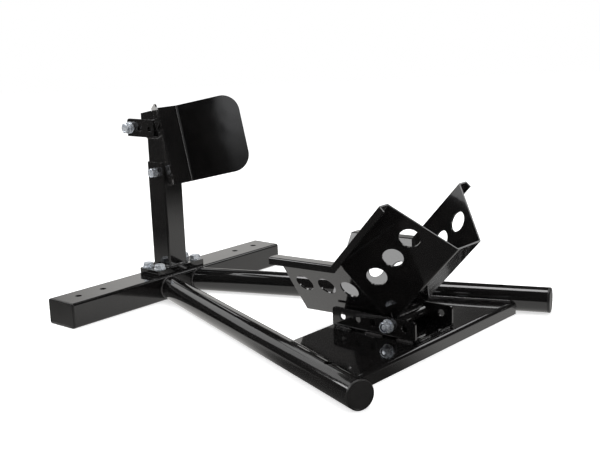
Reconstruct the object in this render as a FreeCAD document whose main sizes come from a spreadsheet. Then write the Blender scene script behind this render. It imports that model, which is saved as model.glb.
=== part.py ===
"""Motorcycle front-wheel chock: T-shaped floor frame, tipping cradle and adjustable wheel stop.

Frame: origin on the floor under the middle of the cross bar, +X towards the side the wheel rolls in from,
+Z up. Left is the rider's left when rolling in (-Y). Millimetres and degrees.
"""

import FreeCAD, Part
import math
import os

import Sketcher

Vector = FreeCAD.Vector
Rotation = FreeCAD.Rotation
Placement = FreeCAD.Placement
X_AXIS = Vector(1, 0, 0)
Y_AXIS = Vector(0, 1, 0)
Z_AXIS = Vector(0, 0, 1)

SIZES = [
    # cross bar: rectangular tube lying across, with a plastic plug in each end
    ("bar_length", 576, "steel length of the cross bar"),
    ("bar_width", 75, "cross bar width along X"),
    ("bar_height", 50, "cross bar height"),
    ("bar_wall", 3, "cross bar wall"),
    ("bar_corner", 5, "cross bar outer corner radius"),
    ("bar_hole_outer", 248, "outer floor-fixing hole from the middle"),
    ("bar_hole_pitch", 60, "spacing of the two floor-fixing holes at each end"),
    ("fixing_hole", 13, "floor-fixing hole diameter"),
    ("bar_cap_flange", 4, "thickness of the bar cap outside the tube"),
    ("cap_depth", 15, "how far a plug reaches into its tube"),
    ("cap_wall", 2.5, "wall of the hollow plug"),
    ("cap_play", 0.3, "clearance round a plug"),
    # splayed round tubes
    ("tube_outside", 48.3, "round tube outside diameter"),
    ("tube_wall", 2.6, "round tube wall"),
    ("tube_start", 42, "tube axis from the middle plane at the bar's front face"),
    ("tube_splay", 20.3, "angle of each tube away from X"),
    ("tube_length", 727, "tube axis length from the bar face to the steel end"),
    ("tube_cap_flange", 5, "thickness of the round cap outside the tube"),
    ("cap_rim", 2, "rounding of the round cap's rim"),
    ("tube_hole_back", 87, "tube fixing hole back from the steel end"),
    # front plate between the tubes
    ("plate_back", 474, "rear edge of the front plate from the bar centre line"),
    ("plate_front", 674, "outer face of the plate's turned-down lip"),
    ("plate_top", 24, "height of the plate's top face"),
    ("plate_sheet", 4, "plate thickness"),
    ("plate_bend", 3, "inside radius of the lip bend"),
    ("weld_gap", 0.3, "root gap between the plate and the tubes"),
    # pivot channel on the plate
    ("channel_back", 481, "rear end of the pivot channel"),
    ("channel_length", 177, "length of the pivot channel"),
    ("channel_width", 117.4, "outside width of the pivot channel"),
    ("channel_height", 37.2, "flange height above the plate"),
    ("channel_sheet", 4, "pivot channel thickness"),
    ("channel_bend", 3, "inside bend radius of the pivot channel"),
    ("channel_corner", 6, "radius of the flange corners"),
    ("pivot_pitch", 33, "spacing of the five pivot holes"),
    ("pivot_hole", 13, "pivot hole diameter"),
    ("pivot_height", 46, "height of the pivot holes above the floor"),
    # fasteners
    ("bolt_shank", 12, "M12 shank diameter"),
    ("bolt_flats", 19, "M12 head and nut across flats"),
    ("bolt_head", 7.5, "M12 head height"),
    ("nut_height", 10.4, "M12 nut height"),
    ("lock_nut_height", 12, "M12 self-locking nut height"),
    ("washer_outside", 24, "M12 washer diameter"),
    ("washer_bore", 13, "M12 washer bore"),
    ("washer_thick", 2.5, "M12 washer thickness"),
    ("spring_outside", 21, "M12 spring washer diameter"),
    ("spring_thick", 3, "M12 spring washer thickness"),
    ("thread_end", 4, "thread standing out of a nut"),
    ("set_shank", 10, "M10 set bolt diameter"),
    ("set_flats", 17, "M10 head and nut across flats"),
    ("set_head", 6.4, "M10 head height"),
    ("set_nut", 7, "M10 weld nut height"),
    ("set_travel", 0.6, "gap between the set bolt's head and its nut when tight"),
    # cradle: two folded troughs on a pivot tube
    ("cradle_sheet", 3, "trough sheet thickness"),
    ("cradle_base", 70, "outside width of a trough's floor"),
    ("cradle_flare", 32.3, "lean of the trough walls from upright"),
    ("cradle_wall", 140, "outside slant height of a wall"),
    ("cradle_hook", 21, "width of the turned-out rim"),
    ("cradle_lip", 13, "drop of the rim's lip"),
    ("cradle_bend", 3, "inside bend radius of the troughs"),
    ("front_length", 200.5, "front trough length from the knee"),
    ("rear_length", 190.5, "rear trough length from the knee"),
    ("cradle_fold", 45.8, "angle between the two trough floors' directions"),
    ("rear_droop", 1.7, "slope of the rear trough when tipped back"),
    ("knee_back", 9.7, "knee line behind the pivot"),
    ("knee_drop", 3.5, "knee line below the pivot"),
    ("window_bore", 36, "diameter of the round wall holes"),
    ("window_pitch", 50.4, "spacing of the wall holes"),
    ("window_end", 32, "end wall hole from the trough's open end"),
    ("window_rise", 74, "wall hole up the slant from the floor"),
    ("sleeve_outside", 20, "pivot tube outside diameter"),
    ("sleeve_play", 0.08, "radial running clearance of the pivot tube on its bolt"),
    ("sleeve_side", 0.7, "clearance between the pivot tube and each flange"),
    ("sleeve_seat", 0.2, "gap between the pivot tube and the sheet cut round it"),
    # rubber buffer that the tipped-back cradle rests on
    ("buffer_back", 529, "rear face of the buffer"),
    ("buffer_length", 18, "buffer size along X"),
    ("buffer_width", 56, "buffer size along Y"),
    ("buffer_gap", 0.3, "gap under the resting cradle"),
    # mast
    ("mast_middle", 6.5, "mast centre line behind the bar centre line"),
    ("foot_middle", 2, "mast foot centre behind the bar centre line"),
    ("foot_length", 60, "mast foot plates along X"),
    ("foot_width", 130, "mast foot plates along Y"),
    ("foot_sheet", 6, "mast foot plate thickness"),
    ("foot_corner", 5, "mast foot plate corner radius"),
    ("foot_hole_along", 36, "foot bolt spacing along X"),
    ("foot_hole_across", 100, "foot bolt spacing along Y"),
    ("mast_side", 50, "outer mast tube side"),
    ("mast_wall", 2, "outer mast tube wall"),
    ("mast_corner", 4, "outer mast tube corner radius"),
    ("mast_top", 280.5, "top of the outer mast tube"),
    ("post_play", 0.5, "clearance of the inner post on each side in the mast tube"),
    ("post_wall", 2.5, "inner post wall"),
    ("post_corner", 3, "inner post corner radius"),
    ("post_bottom", 115, "lower end of the inner post"),
    ("post_top", 331, "top of the inner post"),
    ("set_height", 259.5, "height of the set bolt"),
    ("set_hole", 11, "set bolt hole diameter in the mast"),
    ("set_gap", 0.3, "gap between the set bolt's tip and the post"),
    # head channel on the post
    ("head_back", 85, "rear end of the head channel behind the bar centre line"),
    ("head_front", 3, "front end of its flanges behind the bar centre line"),
    ("head_tongue", 14, "front end of its base"),
    ("head_width", 51, "outside width of the head channel"),
    ("head_sheet", 3, "head channel thickness"),
    ("head_height", 37, "head channel height"),
    ("head_corner", 7, "radius of the flange corners"),
    ("head_bore_back", 76, "rear bolt hole behind the bar centre line"),
    ("head_bore_pitch", 30, "spacing of the head channel's holes"),
    ("head_bore_rise", 18, "bolt holes above the top of the post"),
    # stop arm nested in the head channel
    ("arm_play", 0.4, "clearance on each side of the arm"),
    ("arm_sheet", 3, "arm thickness"),
    ("arm_back", 84, "rear end of the arm behind the bar centre line"),
    ("arm_tail_top", 362, "top of the low rear part"),
    ("arm_block_back", 44, "start of the high part behind the bar centre line"),
    ("arm_block_low", 380, "top of the high part at its rear"),
    ("arm_block_mid", 14, "crest of the high part behind the bar centre line"),
    ("arm_block_top", 386, "height of the crest"),
    ("arm_neck_back", 6, "rear of the neck behind the bar centre line"),
    ("arm_neck_top", 374, "top of the neck where it meets the stop"),
    ("arm_neck_low", 357, "underside of the neck"),
    # wheel stop
    ("stop_sheet", 3, "wheel stop thickness"),
    ("stop_foot_reach", 42.5, "front face of the stop at its lower edge"),
    ("stop_foot_height", 237, "height of the stop's lower edge"),
    ("stop_lean", 13.5, "lean of the stop away from the wheel"),
    ("stop_middle", 64, "width of the flat centre strip"),
    ("stop_wing", 127.5, "width of each wing"),
    ("stop_fold", 53.5, "forward fold of each wing"),
    ("stop_tall", 160, "height of the stop along its own slope"),
    ("stop_corner", 36, "radius of the wing corners"),
    ("stop_bend", 5, "inside bend radius at the folds"),
]

doc = FreeCAD.newDocument("WheelChock")
sheet = doc.addObject("Spreadsheet::Sheet", "Sizes")
for row, (alias, number, note) in enumerate(SIZES, start=1):
    sheet.set(f"A{row}", note)
    sheet.set(f"B{row}", str(number))
    sheet.setAlias(f"B{row}", alias)
doc.recompute()


def value(expression):
    """The number that an expression on the sheet gives."""
    return float(sheet.evalExpression(str(expression)))


def S(text):
    """Writes out sheet names: each word with an underscore becomes Sizes.word."""
    pieces = []
    for word in text.replace("(", " ( ").replace(")", " ) ").split():
        pieces.append(f"Sizes.{word}" if "_" in word else word)
    return " ".join(pieces).replace(" (", "(")


def body_named(label):
    body = doc.addObject("PartDesign::Body", label)
    body.Label = label
    return body


def origin_item(body, role):
    return next(item for item in body.Origin.OriginFeatures if item.Role == role)


def new_sketch(body, role, name):
    sketch = body.newObject("Sketcher::SketchObject", name)
    sketch.AttachmentSupport = (origin_item(body, role), [""])
    sketch.MapMode = "FlatFace"
    return sketch


def tie(sketch, kind, geometry, point, name, expression):
    """Adds one driving dimension from the origin and binds it to the sheet."""
    number = value(expression)
    if kind == "Radius":
        constraint = Sketcher.Constraint("Radius", geometry, number)
    else:
        constraint = Sketcher.Constraint(kind, -1, 1, geometry, point, number)
    sketch.renameConstraint(sketch.addConstraint(constraint), name)
    sketch.setExpression(f"Constraints.{name}", expression)


def add_polygon(sketch, corners):
    """Closed polygon whose corners are pairs of sheet expressions."""
    corners = [(S(a), S(b)) for a, b in corners]
    points = [Vector(value(a), value(b), 0) for a, b in corners]
    first = sketch.GeometryCount
    count = len(points)
    for i in range(count):
        sketch.addGeometry(Part.LineSegment(points[i], points[(i + 1) % count]))
    for i in range(count):
        sketch.addConstraint(Sketcher.Constraint("Coincident", first + i, 2, first + (i + 1) % count, 1))
    for i in range(count):
        tie(sketch, "DistanceX", first + i, 1, f"x{first + i}", corners[i][0])
        tie(sketch, "DistanceY", first + i, 1, f"y{first + i}", corners[i][1])


def add_rectangle(sketch, left, right, low, high):
    add_polygon(sketch, [(left, low), (right, low), (right, high), (left, high)])


def add_circle(sketch, across, up, radius):
    across, up, radius = S(across), S(up), S(radius)
    centre = Vector(value(across), value(up), 0)
    index = sketch.addGeometry(Part.Circle(centre, Z_AXIS, value(radius)))
    tie(sketch, "DistanceX", index, 3, f"x{index}", across)
    tie(sketch, "DistanceY", index, 3, f"y{index}", up)
    tie(sketch, "Radius", index, 0, f"r{index}", radius)


def pad(body, sketch, length, both=False, back=False):
    feature = body.newObject("PartDesign::Pad", sketch.Name + "_pad")
    feature.Profile = sketch
    feature.Midplane = both
    feature.Reversed = back
    feature.setExpression("Length", S(length))
    doc.recompute()
    return feature


def pocket(body, sketch, length):
    """Cuts the sketch through the body to both sides of its plane."""
    before = body.Shape.Volume
    feature = body.newObject("PartDesign::Pocket", sketch.Name + "_cut")
    feature.Profile = sketch
    feature.Midplane = True
    feature.setExpression("Length", S(length))
    doc.recompute()
    if body.Shape.Volume >= before:
        raise RuntimeError(f"{feature.Name} cut nothing")
    return feature


def drill(body, name, radius, length, x="0", y="0", z="0", axis=Z_AXIS):
    """Round tool of the given length, centred on x, y, z and lying along axis."""
    tool = body.newObject("PartDesign::SubtractiveCylinder", name)
    turn = Rotation(Z_AXIS, axis)
    start = turn.multVec(Vector(0, 0, -1))
    tool.Placement = Placement(Vector(0, 0, 0), turn)
    tool.setExpression("Radius", S(radius))
    tool.setExpression("Height", S(length))
    for letter, place, lean in (("x", x, start.x), ("y", y, start.y), ("z", z, start.z)):
        tool.setExpression(f"Placement.Base.{letter}", S(f"( {place} ) + {lean:.9f} * ( {length} ) / 2"))
    doc.recompute()
    return tool


def repeat(body, tools, role, count, pitch, back=False):
    """Straight row of the given features along one of the body's own axes."""
    row = body.newObject("PartDesign::LinearPattern", tools[0].Name + "_row")
    row.Originals = tools
    row.Direction = (origin_item(body, role), [""])
    row.Reversed = back
    row.Mode = "Extent"
    row.Occurrences = count
    row.setExpression("Length", S(f"{pitch} * {count - 1}"))
    body.Tip = row
    doc.recompute()
    return row


def edges_where(shape, test):
    """Names of the straight edges that pass test(direction, middle)."""
    names = []
    for i, edge in enumerate(shape.Edges, start=1):
        if len(edge.Vertexes) == 2 and isinstance(edge.Curve, Part.Line):
            a, b = (v.Point for v in edge.Vertexes)
            if test((b - a).normalize(), (a + b) * 0.5):
                names.append(f"Edge{i}")
    return names


def fillet(body, radius, test):
    """Rounds the edges that pass the test, in the body's own frame."""
    tip = body.Tip
    names = edges_where(tip.Shape, test)
    if not names:
        raise RuntimeError(f"{body.Label}: no edge to round")
    feature = body.newObject("PartDesign::Fillet", "round")
    feature.Base = (tip, names)
    feature.setExpression("Radius", S(radius))
    doc.recompute()
    return feature


def along(axis):
    """Edge test: parallel to the axis."""
    return lambda direction, middle: abs(direction.dot(axis)) > 0.9999


def place(obj, x="0", y="0", z="0", axis=Z_AXIS, angle="0"):
    obj.Placement = Placement(Vector(0, 0, 0), Rotation(axis, 1))
    for letter, expression in (("x", x), ("y", y), ("z", z)):
        obj.setExpression(f"Placement.Base.{letter}", S(expression))
    obj.setExpression("Placement.Rotation.Angle", S(f"( {angle} ) * 1 deg"))
    doc.recompute()


# ---------------------------------------------------------------- floor frame


def square_tube(label, role, width, height, wall, corner, length, both=False):
    """Rectangular tube padded from an origin plane, rounded inside and out."""
    body = body_named(label)
    outline = new_sketch(body, role, label + "_outside")
    add_rectangle(outline, f"( {width} ) / -2", f"( {width} ) / 2", f"( {height} ) / -2", f"( {height} ) / 2")
    pad(body, outline, length, both)
    normal = Y_AXIS if role == "XZ_Plane" else Z_AXIS
    fillet(body, corner, along(normal))
    bore = new_sketch(body, role, label + "_inside")
    half_width = f"( {width} ) / 2 - {wall}"
    half_height = f"( {height} ) / 2 - {wall}"
    add_rectangle(bore, f"0 - ( {half_width} )", half_width, f"0 - ( {half_height} )", half_height)
    pocket(body, bore, f"( {length} ) * 3")
    inner_reach = value(S(half_width)) + 0.01

    def is_inner(direction, middle):
        return abs(direction.dot(normal)) > 0.9999 and abs(middle.x) < inner_reach

    fillet(body, f"{corner} - {wall}", is_inner)
    return body


def cross_bar():
    body = square_tube(
        "cross_bar", "XZ_Plane", "bar_width", "bar_height", "bar_wall", "bar_corner", "bar_length", both=True
    )
    for name, sign in (("left", "-1"), ("right", "1")):
        outer = f"{sign} * bar_hole_outer"
        tool = drill(body, f"fixing_{name}", "fixing_hole / 2", "bar_height * 2", y=outer)
        repeat(body, [tool], "Y_Axis", 2, "bar_hole_pitch", back=(sign == "1"))
    tools = []
    for across in (-1, 1):
        for over in (-1, 1):
            tools.append(
                drill(
                    body,
                    "foot_bolt_hole",
                    "washer_bore / 2",
                    "bar_height / 2",
                    x=f"{over} * foot_hole_along / 2 - foot_middle",
                    y=f"{across} * foot_hole_across / 2",
                    z="bar_height / 2",
                )
            )
    body.Tip = tools[-1]
    place(body, z="bar_height / 2")


def bar_cap(side, sign):
    """Rectangular plug: an outside flange and a hollow box that pushes into the tube."""
    body = body_named(f"cross_bar_cap_{side}")
    flange = new_sketch(body, "XZ_Plane", f"flange_{side}")
    add_rectangle(flange, "bar_width / -2", "bar_width / 2", "bar_height / -2", "bar_height / 2")
    pad(body, flange, "bar_cap_flange", back=(sign > 0))
    fillet(body, "bar_corner", along(Y_AXIS))
    plug = new_sketch(body, "XZ_Plane", f"plug_{side}")
    half_width = "bar_width / 2 - bar_wall - cap_play"
    half_height = "bar_height / 2 - bar_wall - cap_play"
    add_rectangle(plug, f"0 - ( {half_width} )", half_width, f"0 - ( {half_height} )", half_height)
    half_width += " - cap_wall"
    half_height += " - cap_wall"
    add_rectangle(plug, f"0 - ( {half_width} )", half_width, f"0 - ( {half_height} )", half_height)
    pad(body, plug, "cap_depth", back=(sign < 0))
    reach = value(S("bar_width / 2 - bar_wall - cap_play")) - 0.01
    fillet(
        body,
        "bar_corner - bar_wall",
        lambda direction, middle: abs(direction.y) > 0.9999
        and abs(abs(middle.x) - reach - 0.01) < 0.01
        and middle.y * sign < 0,
    )
    place(body, y=f"{sign} * bar_length / 2", z="bar_height / 2")


def frame_tube(side, sign):
    """Round tube, mitred against the bar's front face, with an upright fixing hole near its end."""
    body = body_named(f"frame_tube_{side}")
    ring = new_sketch(body, "YZ_Plane", f"ring_{side}")
    add_circle(ring, "0", "0", "tube_outside / 2")
    add_circle(ring, "0", "0", "tube_outside / 2 - tube_wall")
    feature = pad(body, ring, "tube_length")
    feature.SideType = "Two sides"
    feature.setExpression("Length2", S("tube_outside"))
    doc.recompute()
    mitre = new_sketch(body, "XY_Plane", f"mitre_{side}")
    corners = [(0, -2), (0, 2), (-4, 2), (-4, -2)]
    turned = []
    for a, b in corners:
        turned.append(
            (
                f"tube_outside * ( {a} * cos ( tube_splay ) + {b * sign} * sin ( tube_splay ) )",
                f"tube_outside * ( {-a * sign} * sin ( tube_splay ) + {b} * cos ( tube_splay ) )",
            )
        )
    add_polygon(mitre, turned)
    pocket(body, mitre, "tube_outside * 2")
    drill(body, f"tube_hole_{side}", "fixing_hole / 2", "tube_outside * 2", x="tube_length - tube_hole_back")
    place(
        body,
        x="bar_width / 2",
        y=f"{sign} * tube_start",
        z="tube_outside / 2",
        angle=f"{sign} * tube_splay",
    )


def tube_cap(side, sign):
    """Turned plug: domed flange outside the tube and a hollow spigot inside."""
    body = body_named(f"tube_cap_{side}")
    profile = new_sketch(body, "XZ_Plane", f"cap_profile_{side}")
    spigot = "tube_outside / 2 - tube_wall - cap_play"
    rim_step = "cap_rim * ( 1 - cos ( 45 ) )"
    add_polygon(
        profile,
        [
            ("0 - cap_depth", f"{spigot} - cap_wall"),
            ("0", f"{spigot} - cap_wall"),
            ("0", "0"),
            ("tube_cap_flange", "0"),
            ("tube_cap_flange", "tube_outside / 2 - cap_rim"),
            (f"tube_cap_flange - {rim_step}", f"tube_outside / 2 - {rim_step}"),
            ("tube_cap_flange - cap_rim", "tube_outside / 2"),
            ("0", "tube_outside / 2"),
            ("0", f"{spigot}"),
            ("0 - cap_depth", f"{spigot}"),
        ],
    )
    turned = body.newObject("PartDesign::Revolution", f"cap_turned_{side}")
    turned.Profile = profile
    turned.ReferenceAxis = (origin_item(body, "X_Axis"), [""])
    place(
        body,
        x="bar_width / 2 + tube_length * cos ( tube_splay )",
        y=f"{sign} * ( tube_start + tube_length * sin ( tube_splay ) )",
        z="tube_outside / 2",
        angle=f"{sign} * tube_splay",
    )


def front_plate():
    """Sheet between the tubes with its front edge turned down to the floor."""
    body = body_named("front_plate")
    profile = new_sketch(body, "XZ_Plane", "plate_profile")
    add_polygon(
        profile,
        [
            ("plate_back", "plate_top - plate_sheet"),
            ("plate_front - plate_sheet", "plate_top - plate_sheet"),
            ("plate_front - plate_sheet", "0"),
            ("plate_front", "0"),
            ("plate_front", "plate_top"),
            ("plate_back", "plate_top"),
        ],
    )
    pad(body, profile, "bar_length", both=True)
    inside = value(S("plate_front - plate_sheet"))
    under = value(S("plate_top - plate_sheet"))
    fillet(
        body,
        "plate_bend",
        lambda d, m: abs(d.y) > 0.9999 and abs(m.x - inside) < 0.01 and abs(m.z - under) < 0.01,
    )
    outside = value(S("plate_front"))
    top = value(S("plate_top"))
    fillet(
        body,
        "plate_bend + plate_sheet",
        lambda d, m: abs(d.y) > 0.9999 and abs(m.x - outside) < 0.01 and abs(m.z - top) < 0.01,
    )
    edge = "tube_start - ( tube_outside / 2 + weld_gap ) / cos ( tube_splay )"
    rear_half = f"( {edge} + ( plate_back - 10 - bar_width / 2 ) * tan ( tube_splay ) )"
    front_half = f"( {edge} + ( plate_front + 10 - bar_width / 2 ) * tan ( tube_splay ) )"
    for side, sign in (("left", -1), ("right", 1)):
        trim = new_sketch(body, "XY_Plane", f"plate_trim_{side}")
        add_polygon(
            trim,
            [
                ("plate_back - 10", f"{sign} * {rear_half}"),
                ("plate_front + 10", f"{sign} * {front_half}"),
                ("plate_front + 10", f"{sign} * bar_length"),
                ("plate_back - 10", f"{sign} * bar_length"),
            ],
        )
        pocket(body, trim, "plate_top * 3")


def pivot_channel():
    """Folded channel along X whose upright flanges carry the five pairs of pivot holes."""
    body = body_named("pivot_channel")
    outline = new_sketch(body, "YZ_Plane", "channel_outline")
    half = "channel_width / 2"
    inner = "channel_width / 2 - channel_sheet"
    add_polygon(
        outline,
        [
            (f"0 - {half}", "0"),
            (half, "0"),
            (half, "channel_height"),
            (inner, "channel_height"),
            (inner, "channel_sheet"),
            (f"0 - ( {inner} )", "channel_sheet"),
            (f"0 - ( {inner} )", "channel_height"),
            (f"0 - {half}", "channel_height"),
        ],
    )
    pad(body, outline, "channel_length")
    thick = value(S("channel_sheet"))
    fillet(body, "channel_bend", lambda d, m: abs(d.x) > 0.9999 and abs(m.z - thick) < 0.01)
    fillet(body, "channel_bend + channel_sheet", lambda d, m: abs(d.x) > 0.9999 and abs(m.z) < 0.01)
    high = value(S("channel_height"))
    fillet(body, "channel_corner", lambda d, m: abs(d.y) > 0.9999 and abs(m.z - high) < 0.01)
    hole = drill(
        body,
        "pivot_bore",
        "pivot_hole / 2",
        "channel_width * 2",
        x="channel_length / 2 - 2 * pivot_pitch",
        z="pivot_height - plate_top",
        axis=Y_AXIS,
    )
    repeat(body, [hole], "X_Axis", 5, "pivot_pitch")
    place(body, x="channel_back", z="plate_top")


# ---------------------------------------------------------------- cradle

PIVOT_X = "channel_back + channel_length / 2 + pivot_pitch"


def cradle_trough(label, sign, length):
    """Folded trough along local +-X from the knee: flat floor, flared walls, hooked rims, round windows."""
    body = body_named(label)
    flare = "cradle_flare"
    sheet_up = "cradle_sheet"
    half = "cradle_base / 2"
    wall_out = f"( {half} + cradle_wall * sin ( {flare} ) )"
    wall_up = f"( cradle_wall * cos ( {flare} ) )"
    inner_foot = f"( {half} + {sheet_up} * tan ( {flare} ) - {sheet_up} / cos ( {flare} ) )"
    inner_slope = f"tan ( {flare} )"
    rim_out = f"( {wall_out} + cradle_hook )"
    under_rim = f"( {wall_up} - {sheet_up} )"
    outer_under = f"( {half} + {under_rim} * tan ( {flare} ) )"
    right = [
        (half, "0"),
        (outer_under, under_rim),
        (f"{rim_out} - {sheet_up}", under_rim),
        (f"{rim_out} - {sheet_up}", f"{wall_up} - cradle_lip"),
        (rim_out, f"{wall_up} - cradle_lip"),
        (rim_out, wall_up),
        (f"{inner_foot} + ( {wall_up} - {sheet_up} ) * {inner_slope}", wall_up),
        (inner_foot, sheet_up),
    ]
    left = [(f"0 - ( {a} )", b) for a, b in reversed(right)]
    outline = new_sketch(body, "YZ_Plane", label + "_section")
    add_polygon(outline, right + left)
    pad(body, outline, length, back=(sign < 0))
    height = value(S(wall_up))
    thick = value(S(sheet_up))
    foot = value(S(half))
    rim = value(S(rim_out))

    def near(d, m, out, up):
        return abs(d.x) > 0.9999 and abs(abs(m.y) - out) < 0.3 and abs(m.z - up) < 0.3

    inner_y = value(S(inner_foot))
    crest_y = value(S(f"{inner_foot} + ( {wall_up} - {sheet_up} ) * {inner_slope}"))
    under_y = value(S(outer_under))
    fillet(body, "cradle_bend", lambda d, m: near(d, m, inner_y, thick))
    fillet(body, "cradle_bend + cradle_sheet", lambda d, m: near(d, m, foot, 0))
    fillet(body, "cradle_bend / 2", lambda d, m: near(d, m, under_y, height - thick))
    fillet(body, "cradle_bend", lambda d, m: near(d, m, crest_y, height))
    fillet(body, "cradle_bend", lambda d, m: near(d, m, rim, height))
    mitre = new_sketch(body, "XZ_Plane", label + "_mitre")
    slope = "tan ( cradle_fold / 2 )"
    reach = "cradle_wall * 1.2"
    add_polygon(
        mitre,
        [
            ("0", "0"),
            (f"{sign} * {reach} * {slope}", reach),
            (f"{-sign} * {reach}", reach),
            (f"{-sign} * {reach}", f"0 - {reach}"),
            (f"{-sign} * {reach} * {slope}", f"0 - {reach}"),
        ],
    )
    pocket(body, mitre, "cradle_wall * 4")
    lean = value("Sizes.cradle_flare")
    for side in (-1, 1):
        normal = Vector(0, side * math.cos(math.radians(lean)), -math.sin(math.radians(lean)))
        window = drill(
            body,
            label + "_window",
            "window_bore / 2",
            "cradle_sheet * 8",
            x=f"{sign} * ( {length} - window_end )",
            y=f"{side} * ( {half} + window_rise * sin ( {flare} ) )",
            z=f"window_rise * cos ( {flare} )",
            axis=normal,
        )
        repeat(body, [window], "X_Axis", 3, "window_pitch", back=(sign > 0))
    tilt = "cradle_fold + rear_droop" if sign > 0 else "rear_droop"
    angle = f"0 - ( {tilt} )"
    local_x = f"knee_back * cos ( {tilt} ) + knee_drop * sin ( {tilt} )"
    local_z = f"knee_drop * cos ( {tilt} ) - knee_back * sin ( {tilt} )"
    drill(
        body,
        label + "_seat",
        "sleeve_outside / 2 + sleeve_seat",
        "channel_width * 2",
        x=local_x,
        z=local_z,
        axis=Y_AXIS,
    )
    place(body, x=f"{PIVOT_X} - knee_back", z="pivot_height - knee_drop", axis=Y_AXIS, angle=angle)


def ring_body(label, role, outer, bore, length, both=False, back=False):
    """Plain round tube or washer padded from an origin plane."""
    body = body_named(label)
    ring = new_sketch(body, role, label + "_ring")
    add_circle(ring, "0", "0", outer)
    add_circle(ring, "0", "0", bore)
    pad(body, ring, length, both, back)
    return body


def pivot_sleeve():
    length = "channel_width - 2 * channel_sheet - 2 * sleeve_side"
    body = ring_body(
        "pivot_sleeve", "XZ_Plane", "sleeve_outside / 2", "bolt_shank / 2 + sleeve_play", length, both=True
    )
    place(body, x=PIVOT_X, z="pivot_height")


def rest_buffer():
    """Moulded rubber block in the channel that takes the tipped-back cradle."""
    body = body_named("rest_buffer")
    side = new_sketch(body, "XZ_Plane", "buffer_side")
    base = "plate_top + channel_sheet"

    def top_at(x):
        fall = f"( {PIVOT_X} - knee_back - ( {x} ) ) * tan ( rear_droop )"
        return f"pivot_height - knee_drop - {fall} - buffer_gap"

    front = "buffer_back + buffer_length"
    add_polygon(
        side,
        [
            ("buffer_back", base),
            (front, base),
            (f"{front} - 2", top_at(f"{front} - 2")),
            ("buffer_back + 2", top_at("buffer_back + 2")),
        ],
    )
    pad(body, side, "buffer_width", both=True)


# ---------------------------------------------------------------- fasteners


def hex_points(flats):
    """Corners of a hexagon with the given width across flats."""
    corners = []
    reach = f"( {flats} ) / sqrt ( 3 )"
    for i in range(6):
        corners.append((f"{reach} * cos ( {60 * i} )", f"{reach} * sin ( {60 * i} )"))
    return corners


def hex_bolt(label, flats, head, shank, length):
    """Bolt whose shank runs along local -Z from the underside of its head."""
    body = body_named(label)
    crown = new_sketch(body, "XY_Plane", label + "_head")
    add_polygon(crown, hex_points(flats))
    pad(body, crown, head)
    stem = new_sketch(body, "XY_Plane", label + "_stem")
    add_circle(stem, "0", "0", f"{shank} / 2")
    pad(body, stem, length, back=True)
    return body


def hex_nut(label, flats, bore, height):
    """Nut standing on local z = 0."""
    body = body_named(label)
    ring = new_sketch(body, "XY_Plane", label + "_outline")
    add_polygon(ring, hex_points(flats))
    add_circle(ring, "0", "0", bore)
    pad(body, ring, height)
    return body


def group(label, members):
    compound = doc.addObject("Part::Compound", label)
    compound.Label = label
    compound.Links = members
    doc.recompute()
    return compound


def foot_fasteners():
    """Four bolts through both foot plates into nuts under the bar's top wall."""
    bolts, washers, nuts = [], [], []
    stack = "bar_height + 2 * foot_sheet"
    grip = "washer_thick + 2 * foot_sheet + bar_wall + nut_height + thread_end"
    for i in (-1, 1):
        for j in (-1, 1):
            x = f"{i} * foot_hole_along / 2 - foot_middle"
            y = f"{j} * foot_hole_across / 2"
            bolt = hex_bolt("foot_bolt", "bolt_flats", "bolt_head", "bolt_shank", grip)
            place(bolt, x, y, f"{stack} + washer_thick")
            washer = ring_body(
                "foot_washer", "XY_Plane", "washer_outside / 2", "washer_bore / 2", "washer_thick"
            )
            place(washer, x, y, stack)
            nut = hex_nut("foot_nut", "bolt_flats", "bolt_shank / 2", "nut_height")
            place(nut, x, y, "bar_height - bar_wall - nut_height")
            bolts.append(bolt)
            washers.append(washer)
            nuts.append(nut)
    return [group("foot_bolts", bolts), group("foot_washers", washers), group("foot_nuts", nuts)]


def cross_fastener(name, x, z, outside, head_sign, sprung=False):
    """Bolt along Y through two walls: washers under the head, one of them sprung, and under the nut."""
    face = f"( {outside} ) / 2"
    head_stack = "washer_thick"
    if sprung:
        head_stack = "( 2 * washer_thick + spring_thick )"
    grip = f"{outside} + {head_stack} + washer_thick + lock_nut_height + thread_end"
    head_turn = str(-90 * head_sign)
    bolt = hex_bolt(f"{name}_bolt", "bolt_flats", "bolt_head", "bolt_shank", grip)
    place(bolt, x, f"{head_sign} * ( {face} + {head_stack} )", z, X_AXIS, head_turn)
    stack = [
        (head_sign, face, "washer_outside", "washer_thick"),
        (-head_sign, face, "washer_outside", "washer_thick"),
    ]
    if sprung:
        stack.append((head_sign, f"{face} + washer_thick", "spring_outside", "spring_thick"))
        stack.append((head_sign, f"{face} + washer_thick + spring_thick", "washer_outside", "washer_thick"))
    washers = []
    for sign, seat, across, thick in stack:
        washer = ring_body(
            f"{name}_washer", "XY_Plane", f"{across} / 2", "bolt_shank / 2 + sleeve_seat", thick
        )
        place(washer, x, f"{sign} * ( {seat} )", z, X_AXIS, str(-90 * sign))
        washers.append(washer)
    nut = hex_nut(f"{name}_nut", "bolt_flats", "bolt_shank / 2", "lock_nut_height")
    place(nut, x, f"{-head_sign} * ( {face} + washer_thick )", z, X_AXIS, str(90 * head_sign))
    return [bolt, group(f"{name}_washers", washers), nut]


# ---------------------------------------------------------------- mast and wheel stop


POST_SIDE = "( mast_side - 2 * mast_wall - 2 * post_play )"


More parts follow.
